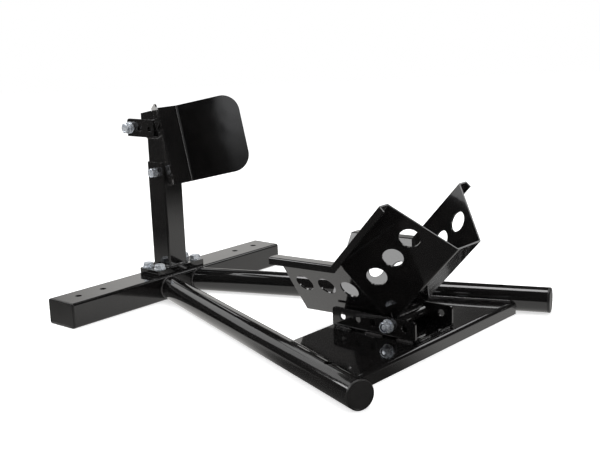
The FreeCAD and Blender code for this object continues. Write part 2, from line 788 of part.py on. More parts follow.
def foot_plate(label, level, opening):
    """Foot plate with four bolt holes; the upper one is open under the mast."""
    body = body_named(label)
    outline = new_sketch(body, "XY_Plane", label + "_outline")
    add_rectangle(outline, "foot_length / -2", "foot_length / 2", "foot_width / -2", "foot_width / 2")
    for i in (-1, 1):
        for j in (-1, 1):
            across = f"{i} * foot_hole_along / 2"
            up = f"{j} * foot_hole_across / 2"
            add_circle(outline, across, up, "washer_bore / 2")
    if opening:
        half = "mast_side / 2 - mast_wall - 1"
        shift = "foot_middle - mast_middle"
        add_rectangle(outline, f"{shift} - ( {half} )", f"{shift} + {half}", f"0 - ( {half} )", half)
    pad(body, outline, "foot_sheet")
    reach = value("Sizes.foot_length / 2") - 0.01
    fillet(body, "foot_corner", lambda d, m: abs(d.z) > 0.9999 and abs(m.x) > reach)
    place(body, x="0 - foot_middle", z=level)


def mast_tube():
    foot_top = "bar_height + 2 * foot_sheet"
    tall = f"mast_top - ( {foot_top} )"
    body = square_tube(
        "mast_tube", "XY_Plane", "mast_side", "mast_side", "mast_wall", "mast_corner", tall
    )
    drill(
        body,
        "set_bolt_hole",
        "set_hole / 2",
        "mast_side",
        y="mast_side / -2",
        z=f"set_height - ( {foot_top} )",
        axis=Y_AXIS,
    )
    place(body, x="0 - mast_middle", z=foot_top)


def set_bolt():
    """Set bolt in a weld nut on the mast's left face, pressing on the inner post."""
    face = "mast_side / 2"
    tip = f"{POST_SIDE} / 2 + set_gap"
    nut = hex_nut("set_nut", "set_flats", "set_shank / 2", "set_nut")
    place(nut, "0 - mast_middle", f"0 - {face}", "set_height", X_AXIS, "90")
    bolt = hex_bolt(
        "set_bolt", "set_flats", "set_head", "set_shank", f"{face} - ( {tip} ) + set_nut + set_travel"
    )
    place(bolt, "0 - mast_middle", f"0 - ( {face} + set_nut + set_travel )", "set_height", X_AXIS, "90")


def mast_post():
    body = square_tube(
        "mast_post", "XY_Plane", POST_SIDE, POST_SIDE, "post_wall", "post_corner", "post_top - post_bottom"
    )
    place(body, x="0 - mast_middle", z="post_bottom")


def head_channel():
    """Channel welded across the post's top; its rows of holes set how far the stop reaches."""
    body = body_named("head_channel")
    side = new_sketch(body, "XZ_Plane", "head_side")
    add_polygon(
        side,
        [
            ("0 - head_back", "0"),
            ("head_tongue", "0"),
            ("head_tongue", "head_sheet"),
            ("0 - head_front", "head_sheet"),
            ("0 - head_front", "head_height"),
            ("0 - head_back", "head_height"),
        ],
    )
    pad(body, side, "head_width", both=True)
    high = value("Sizes.head_height")
    fillet(body, "head_corner", lambda d, m: abs(d.y) > 0.9999 and abs(m.z - high) < 0.01)
    inside = new_sketch(body, "YZ_Plane", "head_inside")
    half = "( head_width / 2 - head_sheet )"
    add_rectangle(inside, f"0 - {half}", half, "head_sheet", "head_height + 5")
    pocket(body, inside, "head_back * 4")
    hole = drill(
        body,
        "head_bore",
        "pivot_hole / 2",
        "head_width * 2",
        x="0 - head_bore_back",
        z="head_bore_rise",
        axis=Y_AXIS,
    )
    repeat(body, [hole], "X_Axis", 3, "head_bore_pitch")
    place(body, z="post_top")


def stop_back(z):
    """Where the stop's back face is at a height."""
    lean = "( stop_lean )"
    return (
        f"stop_foot_reach - ( ( {z} ) - stop_foot_height ) * tan {lean} - stop_sheet / cos {lean}"
    )


def stop_arm():
    """Folded arm that nests in the head channel and carries the wheel stop on its neck."""
    body = body_named("stop_arm")
    side = new_sketch(body, "XZ_Plane", "arm_side")
    floor = "post_top + head_sheet + arm_play"
    add_polygon(
        side,
        [
            ("0 - arm_back", floor),
            ("0 - head_front", floor),
            ("0 - head_front", "arm_neck_low"),
            (stop_back("arm_neck_low"), "arm_neck_low"),
            (stop_back("arm_neck_top"), "arm_neck_top"),
            ("0 - arm_neck_back", "arm_neck_top"),
            ("0 - arm_block_mid", "arm_block_top"),
            ("0 - arm_block_back", "arm_block_low"),
            ("0 - arm_block_back", "arm_tail_top"),
            ("0 - arm_back", "arm_tail_top"),
        ],
    )
    half = "( head_width / 2 - head_sheet - arm_play )"
    pad(body, side, f"2 * {half}", both=True)
    inside = new_sketch(body, "YZ_Plane", "arm_inside")
    inner = f"( {half} - arm_sheet )"
    add_rectangle(inside, f"0 - {inner}", inner, f"{floor} + arm_sheet", "arm_block_top + 5")
    pocket(body, inside, "arm_back * 4")
    drill(
        body,
        "arm_bore",
        "pivot_hole / 2",
        "head_width * 2",
        x="0 - head_bore_back",
        z="post_top + head_bore_rise",
        axis=Y_AXIS,
    )


def wheel_stop():
    """Folded plate: a flat centre strip and two wings folded towards the wheel, corners well rounded."""
    body = body_named("wheel_stop")
    plan = new_sketch(body, "XY_Plane", "stop_plan")
    half = "( stop_middle / 2 )"
    fold = "( stop_fold )"
    half_fold = "( stop_fold / 2 )"
    tip_x = f"stop_wing * sin {fold}"
    tip_y = f"( {half} + stop_wing * cos {fold} )"
    back_half = f"( {half} + stop_sheet * tan {half_fold} )"
    right = [
        ("0", half),
        (tip_x, tip_y),
        (f"{tip_x} - stop_sheet * cos {fold}", f"{tip_y} + stop_sheet * sin {fold}"),
        ("0 - stop_sheet", back_half),
    ]
    left = [(a, f"0 - ( {b} )") for a, b in reversed(right)]
    add_polygon(plan, right + left)
    pad(body, plan, "stop_tall")
    front = value(S(half))
    back = value(S(back_half))
    fillet(
        body,
        "stop_bend",
        lambda d, m: abs(d.z) > 0.9999 and abs(abs(m.y) - front) < 0.01 and abs(m.x) < 0.01,
    )
    fillet(
        body,
        "stop_bend + stop_sheet",
        lambda d, m: abs(d.z) > 0.9999 and abs(abs(m.y) - back) < 0.01 and m.x < 0,
    )
    tall = value("Sizes.stop_tall")
    tip = value(S(tip_x)) / 2

    def is_wing_corner(d, m):
        return abs(d.z) < 0.001 and m.x > tip and (m.z < 0.01 or m.z > tall - 0.01) and is_across(d)

    def is_across(d):
        turn = math.radians(value("Sizes.stop_fold"))
        return abs(abs(d.x) - math.cos(turn)) < 0.001 and abs(abs(d.y) - math.sin(turn)) < 0.001

    fillet(body, "stop_corner", is_wing_corner)
    place(body, x="stop_foot_reach", z="stop_foot_height", axis=Y_AXIS, angle="0 - stop_lean")


# ---------------------------------------------------------------- build and write

SIDES = (("left", -1), ("right", 1))


def build():
    cross_bar()
    for side, sign in SIDES:
        bar_cap(side, sign)
        frame_tube(side, sign)
        tube_cap(side, sign)
    front_plate()
    pivot_channel()
    cradle_trough("cradle_front_trough", 1, "front_length")
    cradle_trough("cradle_rear_trough", -1, "rear_length")
    pivot_sleeve()
    rest_buffer()
    foot_fasteners()
    foot_plate("mast_foot_lower", "bar_height", opening=False)
    foot_plate("mast_foot_upper", "bar_height + foot_sheet", opening=True)
    mast_tube()
    set_bolt()
    mast_post()
    head_channel()
    stop_arm()
    wheel_stop()
    cross_fastener("pivot", PIVOT_X, "pivot_height", "channel_width", 1)
    cross_fastener("stop", "0 - head_bore_back", "post_top + head_bore_rise", "head_width", -1, sprung=True)
    doc.recompute()


def finished_parts():
    """Every body or group that is a sub-part of its own."""
    grouped = set()
    for obj in doc.Objects:
        if obj.TypeId == "Part::Compound":
            grouped.update(member.Name for member in obj.Links)
    kinds = ("PartDesign::Body", "Part::Compound")
    return [obj for obj in doc.Objects if obj.TypeId in kinds and obj.Name not in grouped]


def write():
    for obj in doc.Objects:
        if "Invalid" in obj.State or "Error" in obj.State:
            raise RuntimeError(f"{obj.Label} failed: {obj.State}")
    parts = finished_parts()
    for obj in parts:
        if obj.Shape.isNull() or not obj.Shape.isValid():
            raise RuntimeError(f"{obj.Label} has no valid shape")
    os.makedirs("parts", exist_ok=True)
    for obj in parts:
        obj.Shape.exportStep(os.path.join("parts", obj.Label + ".step"))
        box = obj.Shape.BoundBox
        print(
            f"{obj.Label:24s} solids {len(obj.Shape.Solids)}"
            f"  x {box.XMin:7.1f} {box.XMax:7.1f}  y {box.YMin:7.1f} {box.YMax:7.1f}"
            f"  z {box.ZMin:6.1f} {box.ZMax:6.1f}  cm3 {obj.Shape.Volume / 1000:8.2f}"
        )


build()
write()
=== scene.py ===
"""Motorcycle front-wheel chock: finishes, welds, fasteners, plugs, floor, light and camera.

Metres, in the CAD's own frame: +X is the side the wheel rolls in from, -Y its left, +Z up.
"""

import math
import random

import bmesh
import bpy
from mathutils import Matrix, Vector, noise


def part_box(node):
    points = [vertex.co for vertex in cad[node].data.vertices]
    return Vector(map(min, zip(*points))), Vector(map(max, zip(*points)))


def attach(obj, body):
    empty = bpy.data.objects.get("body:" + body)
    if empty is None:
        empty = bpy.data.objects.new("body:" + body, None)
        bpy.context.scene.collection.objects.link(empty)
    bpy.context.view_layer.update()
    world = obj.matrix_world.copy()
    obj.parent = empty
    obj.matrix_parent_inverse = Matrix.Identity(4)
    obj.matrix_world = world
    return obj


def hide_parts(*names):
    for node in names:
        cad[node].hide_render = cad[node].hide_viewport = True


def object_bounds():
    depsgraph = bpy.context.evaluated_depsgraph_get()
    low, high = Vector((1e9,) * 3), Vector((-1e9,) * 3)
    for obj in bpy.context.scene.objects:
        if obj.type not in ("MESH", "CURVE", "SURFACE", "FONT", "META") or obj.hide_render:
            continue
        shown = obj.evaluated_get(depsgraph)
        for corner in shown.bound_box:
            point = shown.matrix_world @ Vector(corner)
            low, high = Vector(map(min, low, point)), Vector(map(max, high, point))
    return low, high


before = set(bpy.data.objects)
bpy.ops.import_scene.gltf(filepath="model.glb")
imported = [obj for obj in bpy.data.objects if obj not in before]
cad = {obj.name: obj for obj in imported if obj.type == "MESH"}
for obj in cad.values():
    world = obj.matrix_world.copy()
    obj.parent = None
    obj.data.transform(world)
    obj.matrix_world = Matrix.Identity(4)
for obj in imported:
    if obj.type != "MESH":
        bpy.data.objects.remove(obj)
cad_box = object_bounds()
scene = bpy.context.scene
scene.view_settings.view_transform = "Standard"
MM = 0.001

# ---------------------------------------------------------------- camera
# Stands off the near front corner of the chock at about knee height, on a short telephoto lens,
# and leans over a little, so that uprights tip to the left.

CAMERA_TURN = math.radians(41.04)
CAMERA_RISE = math.radians(12.04)
CAMERA_LEAN = math.radians(-2.2)
CAMERA_PLACE = (1.5978, -1.4207, 0.5861)
FILM_WIDTH = 36
LENS_LENGTH = 61.86
level = Vector((math.cos(CAMERA_TURN), math.sin(CAMERA_TURN), 0))
towards = Vector(
    (
        math.sin(CAMERA_TURN) * math.cos(CAMERA_RISE),
        -math.cos(CAMERA_TURN) * math.cos(CAMERA_RISE),
        math.sin(CAMERA_RISE),
    )
)
upright = towards.cross(level)
across = math.cos(CAMERA_LEAN) * level + math.sin(CAMERA_LEAN) * upright
upward = math.cos(CAMERA_LEAN) * upright - math.sin(CAMERA_LEAN) * level
lens = bpy.data.cameras.new("camera")
lens.sensor_width = FILM_WIDTH
lens.lens = LENS_LENGTH
lens.clip_start = 50 * MM
camera = bpy.data.objects.new("camera", lens)
scene.collection.objects.link(camera)
camera.matrix_world = Matrix.Translation(CAMERA_PLACE) @ Matrix(
    (across, upward, towards)
).transposed().to_4x4()
scene.camera = camera

# ---------------------------------------------------------------- floor, sweep and light
# A roll of white paper runs out behind the chock and stands up at the back. In the gloss it shows a painted
# pool of light, an emission that only glossy rays see: bright along its middle and falling off to the sides
# and the front, where the studio is dark. One softbox hangs over the chock, four stand round it, and a
# glowing card, a painted reflection that only glossy rays see, stands left of the camera.

PAPER_HALF = 0.75  # half the bright width beside the chock
PAPER_SPREAD = 0.04  # and how much it grows for each metre behind it
PAPER_SHIFT = -0.15  # how far its middle lies to the side
PAPER_DRIFT = 0.22  # and how far that moves for each metre back
SIDE_FADE = (0.35, 1.35)  # where it starts and stops fading, as shares of the half width
PAPER_FRONT = -0.32  # where it comes up from dark in front of the chock
FRONT_FADE = 0.18  # and over what distance
PAPER_BRIGHT = 0.6
WARM_WHITE = (1, 0.985, 0.96, 1)
PAPER_TONE = (0.86, 0.9)
PAPER_LIFT = 0.6
STUDIO_DARK = 0.06
DAYLIGHT = 0.62
SWEEP_BACK = 2.3
middle = (cad_box[0] + cad_box[1]) / 2
middle.z = 0
away = Vector((-math.sin(CAMERA_TURN), math.cos(CAMERA_TURN), 0))
front_facing = Vector((-0.505, 0.863, 0))


def new_material(name):
    """A node material with nothing in it yet, and its tree."""
    material = bpy.data.materials.new(name)
    material.use_nodes = True
    tree = material.node_tree
    tree.nodes.clear()
    return material, tree


def add_node(tree, kind, inputs=(), **settings):
    """Adds a node, sets its properties and its unlinked sockets, and links the given outputs."""
    node = tree.nodes.new("ShaderNode" + kind)
    for key, what in settings.items():
        setattr(node, key, what)
    for key, what in dict(inputs).items():
        if isinstance(what, bpy.types.NodeSocket):
            tree.links.new(what, node.inputs[key])
        else:
            node.inputs[key].default_value = what
    return node


def faded(tree, value, begin, end, low, high):
    """A number eased from low to high while the value goes from begin to end."""
    ease = add_node(
        tree,
        "MapRange",
        {"Value": value, "From Min": begin, "From Max": end, "To Min": low, "To Max": high},
        interpolation_type="SMOOTHSTEP",
    )
    return ease.outputs["Result"]


def painted_paper_glow(tree):
    """The paper's painted pool of light, as glossy rays see it: full along its middle, dark past its edges
    and in front.
    """
    place = add_node(tree, "NewGeometry").outputs["Position"]
    offset = add_node(tree, "VectorMath", {0: place, 1: middle}, operation="SUBTRACT").outputs["Vector"]
    sideways = add_node(tree, "VectorMath", {0: offset, 1: level}, operation="DOT_PRODUCT")
    depth = add_node(tree, "VectorMath", {0: offset, 1: away}, operation="DOT_PRODUCT").outputs["Value"]
    drift = add_node(tree, "Math", {0: depth, 1: PAPER_DRIFT, 2: PAPER_SHIFT}, operation="MULTIPLY_ADD")
    shifted = add_node(tree, "Math", {0: sideways.outputs["Value"], 1: drift.outputs[0]})
    distance = add_node(tree, "Math", {0: shifted.outputs[0]}, operation="ABSOLUTE")
    behind = add_node(tree, "Math", {0: depth, 1: 0.0}, operation="MAXIMUM")
    half = add_node(
        tree, "Math", {0: behind.outputs[0], 1: PAPER_SPREAD, 2: PAPER_HALF}, operation="MULTIPLY_ADD"
    )
    share = add_node(tree, "Math", {0: distance.outputs[0], 1: half.outputs[0]}, operation="DIVIDE")
    inside = faded(tree, share.outputs[0], *SIDE_FADE, 1.0, 0.0)
    reach = add_node(tree, "VectorMath", {0: offset, 1: front_facing}, operation="DOT_PRODUCT")
    front = faded(tree, reach.outputs["Value"], PAPER_FRONT, PAPER_FRONT + FRONT_FADE, 0.0, 1.0)
    lit = add_node(tree, "Math", {0: inside, 1: front}, operation="MULTIPLY")
    return add_node(
        tree, "MapRange", {"Value": lit.outputs[0], "To Min": STUDIO_DARK, "To Max": PAPER_BRIGHT}
    ).outputs["Result"]


def paper_material():
    """Matt white paper: lit by the lamps, lifted to white in the view, and replaced in the gloss by its
    painted pool of light.
    """
    material, tree = new_material("white_paper")
    rays = add_node(tree, "LightPath")
    grain = add_node(tree, "TexNoise", {"Scale": 9.0, "Detail": 4.0})
    tone = add_node(
        tree,
        "MapRange",
        {"Value": grain.outputs["Fac"], "To Min": PAPER_TONE[0], "To Max": PAPER_TONE[1]},
    )
    sheet = add_node(tree, "BsdfDiffuse", {"Color": tone.outputs["Result"]})
    lift = add_node(tree, "Emission", {"Color": (1, 1, 1, 1), "Strength": PAPER_LIFT})
    seen = add_node(tree, "AddShader", {0: sheet.outputs[0], 1: lift.outputs[0]})
    painted_glow = add_node(tree, "Emission", {"Color": WARM_WHITE, "Strength": painted_paper_glow(tree)})
    straight = add_node(
        tree,
        "Math",
        {0: rays.outputs["Is Camera Ray"], 1: rays.outputs["Is Transmission Ray"]},
        operation="MAXIMUM",
    )
    plain = add_node(tree, "MixShader", {0: straight.outputs[0], 1: sheet.outputs[0], 2: seen.outputs[0]})
    whole = add_node(
        tree,
        "MixShader",
        {0: rays.outputs["Is Glossy Ray"], 1: plain.outputs[0], 2: painted_glow.outputs[0]},
    )
    add_node(tree, "OutputMaterial", {"Surface": whole.outputs[0]})
    return material


def stage_sheet(name, corners, material):
    """A flat staged sheet through the given corners."""
    mesh = bpy.data.meshes.new(name)
    mesh.from_pydata(corners, [], [range(len(corners))])
    mesh.materials.append(material)
    sheet = bpy.data.objects.new(name, mesh)
    scene.collection.objects.link(sheet)
    return sheet


paper = paper_material()
FLOOR_REACH = 6.0
floor_corners = [
    middle + FLOOR_REACH * (a * level + b * away) for a, b in ((-1, -1), (1, -1), (1, 1), (-1, 1))
]
stage_sheet("floor", floor_corners, paper)
SWEEP_TALL = 0.9
sweep_foot = middle + SWEEP_BACK * away
sweep_corners = [
    sweep_foot + a * FLOOR_REACH / 3 * level + Vector((0, 0, b * SWEEP_TALL))
    for a, b in ((-1, 0), (1, 0), (1, 1), (-1, 1))
]
sweep = stage_sheet("sweep", sweep_corners, paper)
sweep.visible_camera = False
sweep.visible_diffuse = False
sweep.visible_shadow = False

world = bpy.data.worlds.new("studio")
world.use_nodes = True
scene.world = world
sky = world.node_tree
sky.nodes.clear()
sky_rays = add_node(sky, "LightPath")
seen_white = add_node(
    sky,
    "Math",
    {0: sky_rays.outputs["Is Camera Ray"], 1: sky_rays.outputs["Is Transmission Ray"]},
    operation="MAXIMUM",
)
day = add_node(sky, "Background", {"Color": (1, 1, 1, 1), "Strength": DAYLIGHT})
dark = add_node(sky, "Background", {"Color": (1, 0.99, 0.97, 1), "Strength": STUDIO_DARK / 2})
white = add_node(sky, "Background", {"Color": (1, 1, 1, 1), "Strength": 1.0})
lit = add_node(
    sky, "MixShader", {0: sky_rays.outputs["Is Glossy Ray"], 1: day.outputs[0], 2: dark.outputs[0]}
)
full = add_node(sky, "MixShader", {0: seen_white.outputs[0], 1: lit.outputs[0], 2: white.outputs[0]})
add_node(sky, "OutputWorld", {"Surface": full.outputs[0]})


def softbox(name, place, aim, width, height, watts):
    """A rectangular softbox at a place, turned to aim at a point."""
    light = bpy.data.lights.new(name, "AREA")
    light.shape = "RECTANGLE"
    light.size = width
    light.size_y = height
    light.energy = watts
    lamp = bpy.data.objects.new(name, light)
    scene.collection.objects.link(lamp)
    lamp.location = place
    lamp.rotation_euler = (Vector(aim) - Vector(place)).to_track_quat("-Z", "Y").to_euler()


TOP_BACK = 0.35
TOP_HIGH = 1.9
# name, which way it stands, how far off, how high it aims, width, height, watts
STANDING_BOXES = (
    ("softbox_left", (-0.64, -0.5, 0.58), 1.8, 0.1, 0.9, 0.9, 8.5),
    ("softbox_wall", (-0.83, 0.15, 0.54), 1.9, 0.1, 1.4, 0.8, 2.6),
    ("softbox_back", (0.15, 0.74, 0.66), 1.9, 0.1, 0.9, 0.6, 2.5),
    ("softbox_right", (0.92, 0.28, 0.42), 1.9, 0.3, 0.3, 0.8, 3),
)
softbox("softbox_top", middle + TOP_BACK * away + Vector((0, 0, TOP_HIGH)), middle, 1.5, 0.7, 14)
for name, way, off, aim_high, width, height, watts in STANDING_BOXES:
    aim = middle + Vector((0, 0, aim_high))
    softbox(name, middle + off * Vector(way), aim, width, height, watts)

# The card is no lamp but a glowing sheet, hidden from the camera, diffuse light and shadows: a painted
# reflection on the gloss of what faces it.
CARD_GLOW = 0.85
CARD_WIDE = 0.4
CARD_FOOT = 0.4
CARD_TOP = 0.9
CARD_SLANT = 0.22
CARD_SIDE_FADE = (0.21, 0.26)
CARD_FOOT_FADE = (0.42, 0.64)
CARD_FOOT_SHARE = 0.2
COOL_WHITE = (0.97, 0.98, 1, 1)
card_edge = middle - 0.56 * level - 1.02 * away


def glowing_reflection_card():
    """A glowing card left of the camera, a painted reflection seen only in the gloss of what faces it, fading
    out along two edges.
    """
    material, tree = new_material("glowing_reflection_card")
    place = add_node(tree, "NewGeometry").outputs["Position"]
    offset = add_node(tree, "VectorMath", {0: place, 1: card_edge}, operation="SUBTRACT").outputs["Vector"]
    slant = level + Vector((0, 0, CARD_SLANT))
    sideways = add_node(tree, "VectorMath", {0: offset, 1: slant}, operation="DOT_PRODUCT")
    height = add_node(tree, "SeparateXYZ", {0: offset}).outputs["Z"]
    across_edge = faded(tree, sideways.outputs["Value"], *CARD_SIDE_FADE, 0.0, CARD_GLOW)
    up_edge = faded(tree, height, *CARD_FOOT_FADE, CARD_FOOT_SHARE, 1.0)
    tone = add_node(tree, "Math", {0: across_edge, 1: up_edge}, operation="MULTIPLY")
    glow = add_node(tree, "Emission", {"Color": COOL_WHITE, "Strength": tone.outputs[0]})
    add_node(tree, "OutputMaterial", {"Surface": glow.outputs[0]})
    return material


card_corners = [
    card_edge + a * level + Vector((0, 0, b))
    for a, b in ((0, CARD_FOOT), (CARD_WIDE, CARD_FOOT), (CARD_WIDE, CARD_TOP), (0, CARD_TOP))
]
glowing_card = stage_sheet("glowing_card", card_corners, glowing_reflection_card())
glowing_card.visible_camera = False
glowing_card.visible_diffuse = False
glowing_card.visible_shadow = False

# ---------------------------------------------------------------- cross bar
# Rectangular steel tube lying across on the floor, sawn square, with two floor-fixing holes at each end.
# Everything welded is powder coated gloss black in one go, a smooth coat with a faint orange peel.

ENAMEL_DEEP = (0.0042, 0.0041, 0.0043)
ENAMEL_PALE = (0.0085, 0.0078, 0.0076)


def surface_bump(tree, texture, strength, distance, under=None):
    """A normal raised by a texture, on top of another normal where one is given."""
    inputs = {"Height": texture, "Strength": strength, "Distance": distance}
    if under is not None:
        inputs["Normal"] = under
    return add_node(tree, "Bump", inputs).outputs["Normal"]


def black_enamel(name, peel=0.015, sheet_edge=0.7 * MM, tone=1.0, rough_from=0.07, veil=0.03):
    """Gloss black powder coat: a clear, slightly rippled skin that rounds over the sheet edges.

    Peel is the depth of its pores, tone multiplies its colour, and veil is how dull the clear skin is.
    """
    material, tree = new_material(name)
    place = add_node(tree, "TexCoord").outputs["Object"]
    clouds = add_node(tree, "TexNoise", {"Vector": place, "Scale": 22.0, "Detail": 5.0})
    ramp = add_node(tree, "ValToRGB", {"Fac": clouds.outputs["Fac"]})
    ramp.color_ramp.elements[0].position = 0.3
    ramp.color_ramp.elements[0].color = (*(part * tone for part in ENAMEL_DEEP), 1)
    ramp.color_ramp.elements[1].position = 0.75
    ramp.color_ramp.elements[1].color = (*(part * tone for part in ENAMEL_PALE), 1)
    rough = add_node(
        tree,
        "MapRange",
        {"Value": clouds.outputs["Fac"], "To Min": rough_from, "To Max": 2 * rough_from},
    )
    edge = add_node(tree, "Bevel", {"Radius": sheet_edge}, samples=4).outputs["Normal"]
    swell = add_node(tree, "TexNoise", {"Vector": place, "Scale": 26.0, "Detail": 1.0})
    waved = surface_bump(tree, swell.outputs["Fac"], 0.08, 2 * MM, edge)
    pores = add_node(tree, "TexNoise", {"Vector": place, "Scale": 620.0, "Detail": 2.0})
    skin = surface_bump(tree, pores.outputs["Fac"], peel, 0.1 * MM, waved)
    shader = add_node(
        tree,
        "BsdfPrincipled",
        {
            "Base Color": ramp.outputs["Color"],
            "Roughness": rough.outputs["Result"],
            "IOR": 1.5,
            "Coat Weight": 1.0,
            "Coat Roughness": veil,
            "Coat IOR": 1.5,
            "Normal": skin,
            "Coat Normal": skin,
        },
    )
    add_node(tree, "OutputMaterial", {"Surface": shader.outputs[0]})
    return material


def coat_node(name, material):
    """Gives a carried-over CAD node its real finish."""
    mesh = cad[name].data
    mesh.materials.clear()
    mesh.materials.append(material)


enamel = black_enamel("black_enamel_gloss")
coat_node("cross_bar", enamel)

# ---------------------------------------------------------------- cross bar end plugs
# Moulded black polyethylene plugs knocked into the ends of the bar: a flange the size of the tube
# with softly rounded rims, and a hollow box that grips inside. The skin is matt, with a fine grain.

BAR_CORNER = 5 * MM
BAR_WALL = 3.3 * MM
PLUG_WALL = 2.5 * MM
PLUG_ARC = 6
CREASE_ANGLE = math.radians(32)


def moulded_black(name):
    """Matt moulded plastic with a fine spark-eroded grain."""
    material, tree = new_material(name)
    place = add_node(tree, "TexCoord").outputs["Object"]
    mottle = add_node(tree, "TexNoise", {"Vector": place, "Scale": 60.0, "Detail": 4.0})
    tint = add_node(tree, "ValToRGB", {"Fac": mottle.outputs["Fac"]})
    tint.color_ramp.elements[0].color = (0.011, 0.0106, 0.0103, 1)
    tint.color_ramp.elements[1].color = (0.021, 0.02, 0.0193, 1)
    rough = add_node(tree, "MapRange", {"Value": mottle.outputs["Fac"], "To Min": 0.26, "To Max": 0.42})
    grain = add_node(tree, "TexNoise", {"Vector": place, "Scale": 1500.0, "Detail": 2.0})
    skin = surface_bump(tree, grain.outputs["Fac"], 0.3, 0.1 * MM)
    shader = add_node(
        tree,
        "BsdfPrincipled",
        {
            "Base Color": tint.outputs["Color"],
            "Roughness": rough.outputs["Result"],
            "IOR": 1.5,
            "Normal": skin,
        },
    )
    add_node(tree, "OutputMaterial", {"Surface": shader.outputs[0]})
    return material


def finished(name, bm, material, body, stands_for=()):
    """Turns a bmesh into a piece that rides on a body, with its finish, and hides the CAD nodes it stands
    for.
    """
    bmesh.ops.recalc_face_normals(bm, faces=bm.faces)
    mesh = bpy.data.meshes.new(name)
    bm.to_mesh(mesh)
    bm.free()
    mesh.shade_smooth()
    mesh.set_sharp_from_angle(angle=CREASE_ANGLE)
    mesh.materials.append(material)
    piece = bpy.data.objects.new(name, mesh)
    scene.collection.objects.link(piece)
    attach(piece, body)
    if stands_for:
        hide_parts(*stands_for)


def skin_rings(bm, rings, joined=False):
    """Skins neighbouring rings of points. The end rings are closed over, or joined to each other."""
    loops = [[bm.verts.new(point) for point in ring] for ring in rings]
    pairs = list(zip(loops, loops[1:]))
    if joined:
        pairs.append((loops[-1], loops[0]))
    for low, high in pairs:
        count = len(low)
        for i in range(count):
            j = (i + 1) % count
            bm.faces.new((low[i], low[j], high[j], high[i]))
    if not joined:
        bm.faces.new(loops[0])
        bm.faces.new(loops[-1])


def rounded_outline(width, height, corner, inset):
    """Points round a rectangle with rounded corners, drawn in by the inset."""
    half_width = width / 2 - inset
    half_height = height / 2 - inset
    radius = max(corner - inset, 0.4 * MM)
    points = []
    for quarter, (a, b) in enumerate(((1, 1), (-1, 1), (-1, -1), (1, -1))):
        for step in range(PLUG_ARC + 1):
            turn = (quarter + step / PLUG_ARC) * math.pi / 2
            points.append(
                (
                    a * (half_width - radius) + radius * math.cos(turn),
                    b * (half_height - radius) + radius * math.sin(turn),
                )
            )
    return points


plastic = moulded_black("black_polyethylene")
for side, sign in (("left", -1), ("right", 1)):
    node = f"cross_bar_cap_{side}"
    low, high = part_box(node)
    width, height = high.x - low.x, high.z - low.z
    face = high.y if sign > 0 else low.y
    depth = high.y - low.y
    flange = abs(face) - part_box("cross_bar")[1].y
    inner = BAR_WALL + PLUG_WALL
    # how far in from the outer face, and how far in from the outline
    profile = [
        (0.5 * MM, 4.2 * MM),
        (0.5 * MM, 3.6 * MM),
        (0.0, 3.0 * MM),
        (0.0, 1.5 * MM),
        (0.35 * MM, 0.6 * MM),
        (0.9 * MM, 0.15 * MM),
        (1.6 * MM, 0.0),
        (flange, 0.0),
        (flange, BAR_WALL),
        (depth - 1.5 * MM, BAR_WALL),
        (depth, BAR_WALL + 0.6 * MM),
        (depth, inner),
        (flange, inner),
    ]
    bm = bmesh.new()
    centre = (low + high) / 2
    rings = []
    for back, inset in profile:
        outline = rounded_outline(width, height, BAR_CORNER, inset)
        y = face - sign * back
        rings.append([Vector((centre.x + a, y, centre.z + b)) for a, b in outline])
    skin_rings(bm, rings)
    finished(f"bar_plug_{side}", bm, plastic, "base_frame", [node])

# ---------------------------------------------------------------- splayed tubes and their welds to the bar
# Two round steel tubes run forward from the bar and splay apart, mitred to its front face.
# Each is welded all round its mouth by hand, with a rippled bead that the powder coat covers.

SPLAY = math.radians(20.3)
TUBE_START = 42 * MM
TUBE_LENGTH = 727 * MM
MOUTH_BEAD = 2.7 * MM
MOUTH_STEPS = 48
FLOOR_CLEAR = 3.6 * MM
BEAD_PROUD = 0.6 * MM
RIPPLE_RINGS = 5
BEAD_SIDES = 9
RIPPLE_LOW = 0.74
RIPPLE_RISE = 0.26
BEAD_UNEVEN = 0.22
BEAD_TAPER = 1.6
WANDER_LENGTH = 7 * MM
SWELL_LENGTH = 4 * MM
SPATTER_SIZES = (0.35, 0.9)
SPATTER_FLAT = 0.6
bar_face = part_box("cross_bar")[1].x
tube_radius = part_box("frame_tube_left")[1].z / 2
# tone=6.0 lifts the welds' colour six times over the enamel's: a painted sheen, standing in for the glints
# the rippled beads catch, so that they read grey.
weld_enamel_painted_sheen = black_enamel("black_enamel_weld", 0.5, 0.2 * MM, tone=6.0, rough_from=0.16, veil=0.08)


def tube_point(sign, reach, out=0.0, up=0.0):
    """A point beside a tube's axis: how far from the bar, how far outwards and how far up."""
    return Vector(
        (
            bar_face + reach * math.cos(SPLAY) - out * math.sin(SPLAY),
            sign * (TUBE_START + reach * math.sin(SPLAY) + out * math.cos(SPLAY)),
            tube_radius + up,
        )
    )


def resampled(route, pace):
    """Evenly spaced points along a route of straight runs, with how far along each one is."""
    spans = [(b - a).length for a, b in zip(route, route[1:])]
    total = sum(spans)
    count = max(4, round(total / pace))
    points, leg, done = [], 0, 0.0
    for i in range(count + 1):
        along = total * i / count
        while leg < len(spans) - 1 and along > done + spans[leg]:
            done += spans[leg]
            leg += 1
        share = min(1.0, (along - done) / spans[leg])
        points.append((route[leg].lerp(route[leg + 1], share), along))
    return points, total


